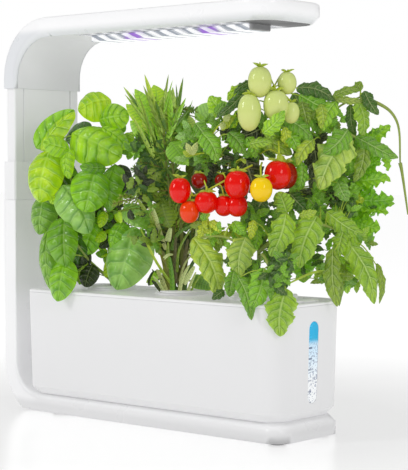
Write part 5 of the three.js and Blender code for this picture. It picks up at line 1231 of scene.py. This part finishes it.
# Tomato plant, with the start of its flowers
TOMATO_STEMS = (
    ((0, 0, 0), (0.01, 0.2, 0), (0, 0.45, 0.04), (0.02, 0.7, 0.03), (0.06, 0.9, 0.04)),
    ((0.01, 0.2, 0), (0.12, 0.42, 0.02), (0.25, 0.62, 0.02), (0.33, 0.8, 0.02), (0.44, 0.86, 0.01)),
    ((0.01, 0.2, 0), (0.06, 0.25, -0.1), (0.2, 0.33, -0.12), (0.33, 0.3, -0.1), (0.39, 0.26, -0.1)),
    ((0, 0.45, 0.04), (-0.1, 0.56, 0.02), (-0.2, 0.68, 0.01)),
    ((0.0075, 0.15, 0), (0.02, 0.2, -0.18), (0.05, 0.14, -0.28), (0.1, 0.08, -0.33)),
    ((0.005, 0.1, 0), (-0.06, 0.22, -0.12), (-0.14, 0.27, -0.1), (-0.25, 0.265, -0.07)),
    ((0.25, 0.62, 0.02), (0.36, 0.7, -0.02), (0.44, 0.68, -0.01), (0.54, 0.655, 0), (0.6, 0.6, 0)),
    ((0.44, 0.86, 0.01), (0.52, 0.83, 0), (0.575, 0.79, 0), (0.605, 0.72, 0), (0.61, 0.58, 0)),
    ((0.61, 0.58, 0), (0.62, 0.53, 0), (0.645, 0.36, 0)),
)
TOMATO_LEAVES = (
    ((-0.05, 0.6, 0.01), (0, 0.45, 0), 0.14, "shade", 0),
    ((-0.2, 0.6, 0.03), (-0.22, 0.46, 0.02), 0.11, "shade", 0),
    ((0.16, 0.46, 0.04), (0.24, 0.36, 0), 0.13, "shade", 0),
    ((0.17, 0.72, 0), (0.24, 0.6, -0.01), 0.1, "mid", 0),
    ((0, 0.7, 0.02), (0.15, 0.62, -0.02), 0.1, "olive", 0),
    ((0.05, 0.745, 0.03), (-0.07, 0.69, 0), 0.1, "shade", 0),
    ((-0.02, 0.84, 0.02), (-0.05, 0.7, 0.02), 0.1, "shade", 0),
    ((-0.16, 0.6, 0.06), (-0.28, 0.5, 0.06), 0.12, "shade", 0),
    ((-0.1, 0.56, 0.05), (-0.14, 0.42, 0.05), 0.12, "shade", 0),
    ((0.03, 0.43, 0.01), (-0.02, 0.27, 0), 0.13, "deep", 0),
    ((0.09, 0.3, -0.02), (0.06, 0.17, -0.05), 0.1, "deep", 0),
    ((0.13, 0.24, 0.01), (0.06, 0.15, 0), 0.08, "deep", 0),
    ((0.16, 0.24, 0.07), (0.15, 0.1, 0.07), 0.08, "shade", 0),
    ((0.23, 0.7, 0), (0.235, 0.46, -0.01), 0.09, "shade", 0),
    ((0.22, 0.43, -0.02), (0.3, 0.35, -0.04), 0.1, "mid", 0),
    ((0.31, 0.47, 0), (0.39, 0.39, -0.02), 0.1, "shade", 0),
    ((-0.03, 0.9, -0.02), (-0.17, 0.77, -0.05), 0.06, "deep", 0),
    ((-0.05, 0.91, 0.05), (-0.125, 0.85, 0.02), 0.06, "lime", 0),
    ((-0.13, 0.79, 0.07), (-0.2, 0.865, 0.06), 0.1, "bright", 0),
    ((-0.055, 0.8, 0.04), (-0.12, 0.73, 0.02), 0.07, "lime", 0),
    ((-0.26, 0.75, 0.02), (-0.19, 0.67, 0), 0.09, "mid", 0),
    ((-0.235, 0.71, 0), (-0.165, 0.59, -0.04), 0.11, "fresh", 0),
    ((0.02, 0.7, -0.155), (0.105, 0.79, -0.215), 0.08, "bright", 0),
    ((-0.035, 0.655, -0.1), (0.055, 0.67, -0.14), 0.06, "veined", 0),
    ((-0.12, 0.71, -0.02), (-0.05, 0.62, -0.06), 0.09, "mid", 0),
    ((0.24, 0.68, -0.04), (0.165, 0.575, -0.08), 0.08, "pale", 0),
    ((0.19, 0.585, -0.02), (0.18, 0.46, -0.01), 0.07, "fresh", 0),
    ((0.12, 0.77, -0.03), (0.24, 0.68, -0.05), 0.1, "mid", 0),
    ((0.16, 0.88, 0.06), (0.24, 0.75, 0.02), 0.09, "deep", 0),
    ((0.17, 0.9, 0.04), (0.33, 0.85, -0.02), 0.09, "deep", 0),
    ((0.18, 0.87, 0.03), (0.32, 0.8, -0.01), 0.1, "fresh", 0),
    ((0.19, 0.84, 0), (0.215, 0.745, -0.02), 0.09, "olive", 0),
    ((0.27, 0.83, -0.01), (0.275, 0.725, -0.03), 0.07, "pale", 0),
    ((0.335, 0.84, 0), (0.275, 0.72, -0.03), 0.09, "bright", 0),
    ((0.32, 0.86, 0), (0.45, 0.9, 0), 0.05, "olive", 0),
    ((0.43, 0.84, 0), (0.457, 0.685, -0.02), 0.1, "veined", 25),
    ((0.455, 0.885, 0), (0.515, 0.785, -0.02), 0.07, "deep", 0),
    ((0.455, 0.67, -0.02), (0.415, 0.5, -0.04), 0.08, "olive", 0),
    ((0.415, 0.69, -0.02), (0.6, 0.6, -0.02), 0.085, "mid", 0),
    ((0.385, 0.7, -0.06), (0.255, 0.475, -0.1), 0.18, "silver", -8),
    ((0.38, 0.72, -0.08), (0.28, 0.62, -0.12), 0.12, "mid", 0),
    ((0.29, 0.375, -0.09), (0.44, 0.28, -0.12), 0.1, "veined", 0),
    ((0.41, 0.285, -0.1), (0.31, 0.2, -0.14), 0.1, "veined", 0),
    ((0.37, 0.26, -0.12), (0.5, -0.005, -0.14), 0.13, "veined", 0),
    ((0.31, 0.225, -0.17), (0.33, -0.015, -0.2), 0.09, "olive", 12),
    ((0.345, 0.19, -0.06), (0.385, 0.03, -0.08), 0.09, "bright", 0),
    ((0.205, 0.185, 0.07), (0.2, 0.065, 0.06), 0.12, "vivid", 0),
    ((0.12, 0.37, -0.17), (0.085, 0.46, -0.16), 0.1, "veined", 20),
    ((0.115, 0.37, -0.2), (0.05, 0.2, -0.26), 0.13, "veined", -12),
    ((0.245, 0.36, -0.17), (0.165, 0.155, -0.25), 0.15, "veined", 6),
    ((-0.1, 0.13, -0.18), (-0.12, 0.03, -0.22), 0.08, "mid", 0),
    ((0.02, 0.15, -0.27), (-0.03, -0.01, -0.34), 0.12, "fresh", 0),
    ((-0.05, 0.27, -0.14), (-0.08, 0.115, -0.19), 0.14, "silver", 10),
    ((-0.09, 0.12, -0.25), (-0.03, -0.05, -0.35), 0.08, "mid", 0),
    ((0.05, 0.155, -0.28), (0.11, 0.075, -0.34), 0.12, "deep", 0),
    ((0.11, 0.07, -0.34), (0.08, -0.12, -0.37), 0.15, "veined", 0),
    ((-0.27, 0.265, -0.07), (-0.155, 0.02, -0.11), 0.14, "pale", 0),
    ((-0.02, 0.925, 0.01), (-0.1, 0.875, -0.01), 0.045, "deep", 0),
    ((-0.1, 0.77, 0.01), (-0.15, 0.72, 0), 0.045, "sprout", 0),
    ((-0.04, 0.69, -0.04), (0, 0.6, -0.03), 0.07, "fresh", 0),
    ((0.115, 0.73, -0.06), (0.15, 0.64, -0.03), 0.06, "sprout", 0),
    ((0.13, 0.71, -0.04), (0.175, 0.63, -0.06), 0.08, "fresh", 0),
    ((0.04, 0.74, -0.05), (0.07, 0.66, -0.03), 0.06, "veined", 0),
    ((0.4, 0.83, 0.01), (0.42, 0.69, 0.01), 0.06, "deep", 0),
    ((0.445, 0.925, 0.01), (0.405, 0.88, 0.01), 0.05, "olive", 0),
    ((0.33, 0.85, 0), (0.47, 0.84, 0), 0.04, "stem", 0),
    ((0.36, 0.3, -0.12), (0.335, 0.19, -0.15), 0.08, "veined", 0),
    ((0.5, 0.16, -0.12), (0.515, -0.01, -0.13), 0.04, "olive", 0),
    ((0.17, 0.36, -0.18), (0.24, 0.38, -0.2), 0.05, "pale", 0),
    ((-0.14, 0.05, -0.16), (-0.19, 0.015, -0.18), 0.05, "deep", 0),
    ((0.31, 0.18, -0.1), (0.35, -0.02, -0.12), 0.05, "olive", 0),
    ((-0.1, 0.335, -0.1), (-0.05, 0.28, -0.12), 0.06, "fresh", 0),
    ((-0.2, 0.335, -0.09), (-0.15, 0.29, -0.1), 0.05, "sprout", 0),
    ((-0.015, 0.34, -0.1), (-0.03, 0.26, -0.12), 0.05, "sprout", 0),
    ((0.14, 0.45, -0.02), (0.21, 0.38, -0.04), 0.09, "deep", 0),
    ((0, 0.3, -0.05), (-0.02, 0.2, -0.08), 0.06, "fresh", 0),
    ((0.34, 0.5, -0.06), (0.38, 0.42, -0.09), 0.08, "dull", 0),
)
PETALS = (
    ((-0.28, 0.61, 0.02), (-0.25, 0.67, 0), 0.03, "petal", 0),
    ((-0.28, 0.61, 0.02), (-0.3, 0.665, 0), 0.03, "petal", 0),
    ((-0.28, 0.61, 0.02), (-0.315, 0.63, 0), 0.025, "sprout", 0),
    ((-0.14, 0.755, -0.01), (-0.115, 0.79, -0.02), 0.03, "petal", 0),
    ((-0.14, 0.755, -0.01), (-0.15, 0.72, -0.02), 0.025, "petal", 0),
    ((-0.065, 0.6, -0.02), (-0.05, 0.575, -0.06), 0.02, "sprout", 0),
    ((0.09, 0.62, -0.1), (0.1, 0.585, -0.13), 0.025, "sprout", 0),
)
FRUIT_STALK = 1.1 * MM
STALK_END_SHARE = 0.8
SIDE_STALK_SHARE = 0.7
SIDE_STALK_BEND_SHARE = 0.55
SIDE_STALK_RISE_SHARE = 0.35
# A truss: the node that it stands for, its stalk, and each fruit's place, half width, half height, tint
TRUSSES = (
    ("green_tomatoes", ((0.065, 0.9, -0.03), (0.07, 0.9, -0.09), (0.045, 0.86, -0.13)), (
        ((0.123, 0.913, -0.1), 0.041, 0.049, "green_fruit"),
        ((0.008, 0.917, -0.13), 0.051, 0.067, "green_fruit"),
        ((0.14, 0.79, -0.11), 0.036, 0.047, "green_fruit"),
        ((0.075, 0.82, -0.13), 0.054, 0.066, "green_fruit"),
        ((-0.036, 0.79, -0.14), 0.051, 0.08, "green_fruit"),
    )),
    ("red_tomatoes_left", (
        (-0.02, 0.57, -0.05), (-0.08, 0.54, -0.08), (-0.18, 0.48, -0.07), (-0.27, 0.44, -0.07),
    ), (
        ((-0.325, 0.465, -0.08), 0.047, 0.056, "red"),
        ((-0.245, 0.505, -0.03), 0.035, 0.035, "dark_red"),
        ((-0.285, 0.375, -0.08), 0.043, 0.049, "orange"),
        ((-0.215, 0.415, -0.09), 0.051, 0.049, "red"),
        ((-0.14, 0.4, -0.08), 0.042, 0.046, "red"),
        ((-0.085, 0.4, -0.09), 0.045, 0.048, "red"),
        ((-0.085, 0.49, -0.11), 0.056, 0.062, "red"),
        ((-0.15, 0.505, -0.03), 0.03, 0.03, "dark_red"),
    )),
    ("red_tomatoes_right", ((0.09, 0.67, -0.05), (0.09, 0.64, -0.09), (0.09, 0.57, -0.1)), (
        ((0.085, 0.53, -0.1), 0.058, 0.064, "red"),
        ((0.12, 0.528, -0.05), 0.052, 0.06, "dark_red"),
    )),
    ("yellow_tomato", ((0.02, 0.58, -0.06), (0.012, 0.56, -0.14), (0.012, 0.5, -0.2)), (
        ((0.012, 0.47, -0.2), 0.048, 0.053, "yellow"),
    )),
)
BERRY_ROWS = 14
BERRY_SIDES = 20
BERRY_DIMPLE = 0.07
SEPALS = 5
SEPAL_WIDTH_SHARE = 0.26
SEPAL_REACH_SHARES = (0.6, 0.85)
SEPAL_LIFT_SHARES = (-0.1, 0.3)
CROWN_SHARE = 0.93
BERRY_FULLNESS = 0.92
DIMPLE_ANGLE = 0.45
BERRY_RIB_SHARE = 0.012
BERRY_RIBS = 5


def berry(plant, centre, half_width, half_height, tint, chance):
    """A fruit with a dimple at its top and its calyx. Returns the place where its stalk joins."""
    rows = []
    for level in range(BERRY_ROWS + 1):
        angle = math.pi * level / BERRY_ROWS
        radius = max(math.sin(angle), 0.001) ** BERRY_FULLNESS * half_width
        sink = BERRY_DIMPLE * math.exp(-((angle / DIMPLE_ANGLE) ** 2))
        lift = (math.cos(angle) - sink) * half_height
        ring = []
        for side in range(BERRY_SIDES):
            turn = side / BERRY_SIDES * math.tau
            swell = 1 + BERRY_RIB_SHARE * math.cos(turn * BERRY_RIBS)
            outward = around(RIGHTWARD, BACKWARD, turn)
            ring.append(centre + outward * (radius * swell) + UPWARD * lift)
        rows.append(ring)
    plant.sheet(rows, tint, BERRY, closed=True)
    crown = centre + UPWARD * (half_height * CROWN_SHARE)
    start = chance.uniform(0, math.tau)
    for number in range(SEPALS):
        turn = start + number / SEPALS * math.tau
        outward = around(RIGHTWARD, BACKWARD, turn)
        reach = half_width * chance.uniform(*SEPAL_REACH_SHARES)
        tip = crown + outward * reach + UPWARD * (half_height * chance.uniform(*SEPAL_LIFT_SHARES))
        leaf(plant, crown, tip, half_width * SEPAL_WIDTH_SHARE, "sprout", sepal_style)
    return crown


def build_truss(node, stalk_row, fruits, chance):
    plant = Plant(2, TOMATO_SIZE)
    points = [plant.at(*place) for place in stalk_row]
    stalk_end = FRUIT_STALK * STALK_END_SHARE
    tube(plant, points, FRUIT_STALK, stalk_end, "sprout")
    samples = stem_samples([points])
    for place, half_width, half_height, tint in fruits:
        tall = half_height * plant.size
        crown = berry(plant, plant.at(*place), half_width * plant.size, tall, tint, chance)
        nearest = min(samples, key=lambda point: (point - crown).length)
        stalk = bowed(nearest, crown, SIDE_STALK_BEND_SHARE, tall * SIDE_STALK_RISE_SHARE)
        tube(plant, stalk, FRUIT_STALK * SIDE_STALK_SHARE, stalk_end, "sprout")
    name = node.replace("_tomato", "_fruit")
    plant.build(name, (TOMATO_SKIN, STEM_SKIN, BERRY_SKIN), "pod_3", node)


TOMATO_SPRAYS = (
    ((-0.25, 0.68, 0.05), (0.07, 0.09, 0.02), 9, ("frond", "blue", "mid")),
    ((-0.22, 0.64, 0.03), (0.08, 0.08, 0.02), 8, ("deep", "mid", "fresh")),
    ((-0.12, 0.8, 0.03), (0.07, 0.05, 0.02), 4, ("mid", "bright", "deep")),
    ((-0.07, 0.67, 0.03), (0.08, 0.08, 0.02), 9, ("deep", "mid", "fresh", "shade")),
    ((0.08, 0.68, 0.02), (0.1, 0.08, 0.02), 12, ("mid", "deep", "olive", "fresh")),
    ((0.21, 0.64, 0.01), (0.06, 0.14, 0.02), 12, ("deep", "mid", "shade")),
    ((0.27, 0.79, 0.01), (0.09, 0.06, 0.02), 9, ("fresh", "mid", "olive")),
    ((0.36, 0.56, 0.01), (0.07, 0.14, 0.02), 14, ("deep", "mid", "fresh")),
    ((0.19, 0.43, 0.01), (0.12, 0.07, 0.02), 11, ("deep", "shade", "mid")),
    ((0.33, 0.37, 0.0), (0.09, 0.08, 0.02), 12, ("deep", "mid", "fresh")),
    ((0.05, 0.29, -0.02), (0.1, 0.1, 0.03), 12, ("deep", "mid", "fresh")),
    ((0.24, 0.22, 0.08), (0.08, 0.09, 0.02), 14, ("mid", "fresh", "vivid", "deep")),
    ((0.4, 0.16, -0.08), (0.07, 0.1, 0.02), 9, ("mid", "olive", "veined")),
    ((-0.14, 0.3, -0.06), (0.1, 0.05, 0.03), 8, ("sprout", "fresh", "olive")),
    ((-0.09, 0.14, -0.14), (0.09, 0.07, 0.03), 8, ("mid", "deep", "fresh")),
    ((0.08, 0.13, -0.34), (0.05, 0.07, 0.02), 8, ("mid", "deep", "fresh")),
    ((-0.13, 0.48, 0.03), (0.13, 0.07, 0.02), 9, ("shade", "deep")),
)


def build_tomato():
    plant = Plant(2, TOMATO_SIZE)
    chance = random.Random(5)
    samples = grow_stems(plant, TOMATO_STEMS, "stem")
    grow_leaves(plant, TOMATO_LEAVES, samples, tomato_style, "pale")
    grow_leaves(plant, PETALS, samples, smooth_style, "sprout")
    inner_samples = stem_samples(plant.lines(TOMATO_STEMS[:-2]))
    grow_sprays(plant, TOMATO_SPRAYS, inner_samples, leaflet_style, "pale", chance)
    plant.build("tomato", (TOMATO_SKIN, STEM_SKIN), "pod_3", "tomato_plant")
    for node, stalk_row, fruits in TRUSSES:
        build_truss(node, stalk_row, fruits, chance)


# Salad greens: jagged fronds in front of darker backing leaves
GREENS_STEMS = (
    ((0.1, 0.12, 0.1), (0.2, 0.25, 0.14), (0.3, 0.38, 0.13), (0.37, 0.48, 0.11)),
    ((0.1, 0.12, 0.1), (0.24, 0.22, 0.15), (0.35, 0.3, 0.13), (0.4, 0.34, 0.1)),
    ((0.37, 0.48, 0.11), (0.42, 0.58, 0.1), (0.45, 0.63, 0.08)),
)
GREENS_SETBACK = 6.8 * MM
GREENS_FOOT = (0, 0, GREENS_SETBACK / TOMATO_SIZE)
SALAD_STALK = 1.9 * MM
SALAD_STALK_TIP = 1.1 * MM
GREENS_BACKING = (
    ((0.36, 0.5, 0.11), (0.46, 0.36, 0.11), 0.13, "mid", 0),
    ((0.35, 0.35, 0.11), (0.45, 0.27, 0.1), 0.1, "deep", 0),
    ((0.42, 0.57, 0.11), (0.51, 0.61, 0.1), 0.09, "mid", 0),
    ((0.32, 0.46, 0.1), (0.39, 0.38, 0.1), 0.1, "shade", 0),
)
FRONDS = (
    ((0.38, 0.49, 0.08), (0.56, 0.52, 0.05), 0.1, "frond", 0),
    ((0.38, 0.43, 0.08), (0.59, 0.425, 0.05), 0.11, "vivid", -15),
    ((0.4, 0.38, 0.07), (0.565, 0.365, 0.03), 0.1, "frond", 10),
    ((0.4, 0.34, 0.06), (0.53, 0.3, 0.03), 0.1, "frond", -10),
    ((0.4, 0.5, 0.06), (0.51, 0.575, 0.05), 0.1, "vivid", 15),
    ((0.34, 0.41, 0.05), (0.46, 0.42, 0.03), 0.11, "sprout", 0),
    ((0.33, 0.36, 0.05), (0.42, 0.29, 0.01), 0.1, "frond", 12),
    ((0.42, 0.32, 0.08), (0.5, 0.24, 0.05), 0.09, "vivid", 0),
    ((0.45, 0.62, 0.07), (0.575, 0.74, 0.06), 0.1, "frond", 0),
    ((0.47, 0.64, 0.07), (0.53, 0.57, 0.05), 0.07, "vivid", 0),
    ((0.52, 0.66, 0.06), (0.565, 0.545, 0.05), 0.06, "frond", 0),
)
GREENS_SPRAYS = (
    ((0.44, 0.66, 0.06), (0.05, 0.08, 0.015), 7, ("frond", "vivid", "mid")),
    ((0.43, 0.43, 0.07), (0.06, 0.1, 0.02), 14, ("frond", "vivid", "mid", "deep")),
    ((0.47, 0.58, 0.08), (0.06, 0.08, 0.015), 9, ("frond", "vivid", "mid")),
    ((0.43, 0.31, 0.06), (0.06, 0.04, 0.015), 6, ("frond", "mid", "vivid")),
    ((0.52, 0.47, 0.06), (0.04, 0.08, 0.01), 7, ("frond", "vivid")),
)


def build_greens():
    plant = Plant(2, TOMATO_SIZE)
    chance = random.Random(7)
    foot = plant.at(*GREENS_FOOT)
    stems = plant.lines(GREENS_STEMS)
    for points in stems[:2]:
        tube(plant, [foot] + points, SALAD_STALK, SALAD_STALK_TIP, "pale")
    tube(plant, stems[2], SALAD_STALK_TIP, PETIOLE, "pale")
    samples = stem_samples(stems)
    grow_leaves(plant, GREENS_BACKING, samples, tomato_style, "sprout")
    grow_leaves(plant, FRONDS, samples, frond_style, "sprout")
    grow_sprays(plant, GREENS_SPRAYS, samples, leaflet_style, "sprout", chance)
    plant.build("salad", (SALAD_SKIN, STEM_SKIN), "pod_3", "salad_greens")


build_basil()
build_rosemary()
build_tomato()
build_greens()


# Floor, background and lamps
FLOOR_HALF = 12
FLOOR_GLOSS = 0.25
WORLD_LIGHT = 0.55
MIRRORED_LIGHT = 0.22
FLOOR_GLOW = 0.49
FAR_GLOW = 0.74
GLOW_START = 0.24
GLOW_END = 0.7
FLOOR_SHEEN = 0.3
WHITE = (1, 1, 1, 1)


def make_stage():
    mesh = bpy.data.meshes.new("floor")
    signs = ((-1, -1), (1, -1), (1, 1), (-1, 1))
    mesh.from_pydata([(x * FLOOR_HALF, y * FLOOR_HALF, 0) for x, y in signs], [], [(0, 1, 2, 3)])
    floor = bpy.data.objects.new("floor", mesh)
    bpy.context.scene.collection.objects.link(floor)
    look = Look("floor_white")
    across, back = look.parts(look.where())[0:2]
    distance = look.math("SQRT", look.plus(look.times(across, across), look.times(back, back)))
    glow = look.span(distance, GLOW_START, GLOW_END, FLOOR_GLOW, FAR_GLOW)
    look.finish(Emission_Strength=glow, Emission_Color=WHITE, Specular_IOR_Level=FLOOR_SHEEN)
    mesh.materials.append(look.finish(Base_Color=colour(186, 186, 186), Roughness=FLOOR_GLOSS))


def make_world():
    """White round the object, with one level for its light, one as seen and one as mirrored."""
    world = bpy.data.worlds.new("studio")
    bpy.context.scene.world = world
    world.use_nodes = True
    tree = world.node_tree
    paths = tree.nodes.new("ShaderNodeLightPath")
    soft = tree.nodes["Background"]
    seen = tree.nodes.new("ShaderNodeBackground")
    mirrored = tree.nodes.new("ShaderNodeBackground")
    for light, strength in ((soft, WORLD_LIGHT), (seen, 1), (mirrored, MIRRORED_LIGHT)):
        light.inputs["Color"].default_value = WHITE
        light.inputs["Strength"].default_value = strength
    source = soft
    for ray, light in (("Is Glossy Ray", mirrored), ("Is Camera Ray", seen)):
        choice = tree.nodes.new("ShaderNodeMixShader")
        tree.links.new(paths.outputs[ray], choice.inputs[0])
        tree.links.new(source.outputs[0], choice.inputs[1])
        tree.links.new(light.outputs[0], choice.inputs[2])
        source = choice
    tree.links.new(source.outputs[0], tree.nodes["World Output"].inputs[0])


def make_lamp(name, place, target, width, height, power):
    lamp = bpy.data.lights.new(name, "AREA")
    lamp.shape = "RECTANGLE"
    lamp.size = width
    lamp.size_y = height
    lamp.energy = power
    holder = bpy.data.objects.new(name, lamp)
    holder.location = place
    holder.rotation_euler = (Vector(target) - Vector(place)).to_track_quat("-Z", "Y").to_euler()
    bpy.context.scene.collection.objects.link(holder)


# A lamp's name, its place and the place that it faces, its width and height in metres, and its watts
LAMPS = (
    ("key", (-0.9, -1.9, 1.3), (0, 0, 0.2), 0.4, 0.7, 11.5),
    ("fill", (1.9, -0.6, 0.9), (0, 0, 0.2), 0.35, 0.7, 5.5),
    ("top", (0, 0.1, 2.0), (0, 0, 0), 1.5, 1.5, 7),
)

make_stage()
make_world()
for lamp_row in LAMPS:
    make_lamp(*lamp_row)
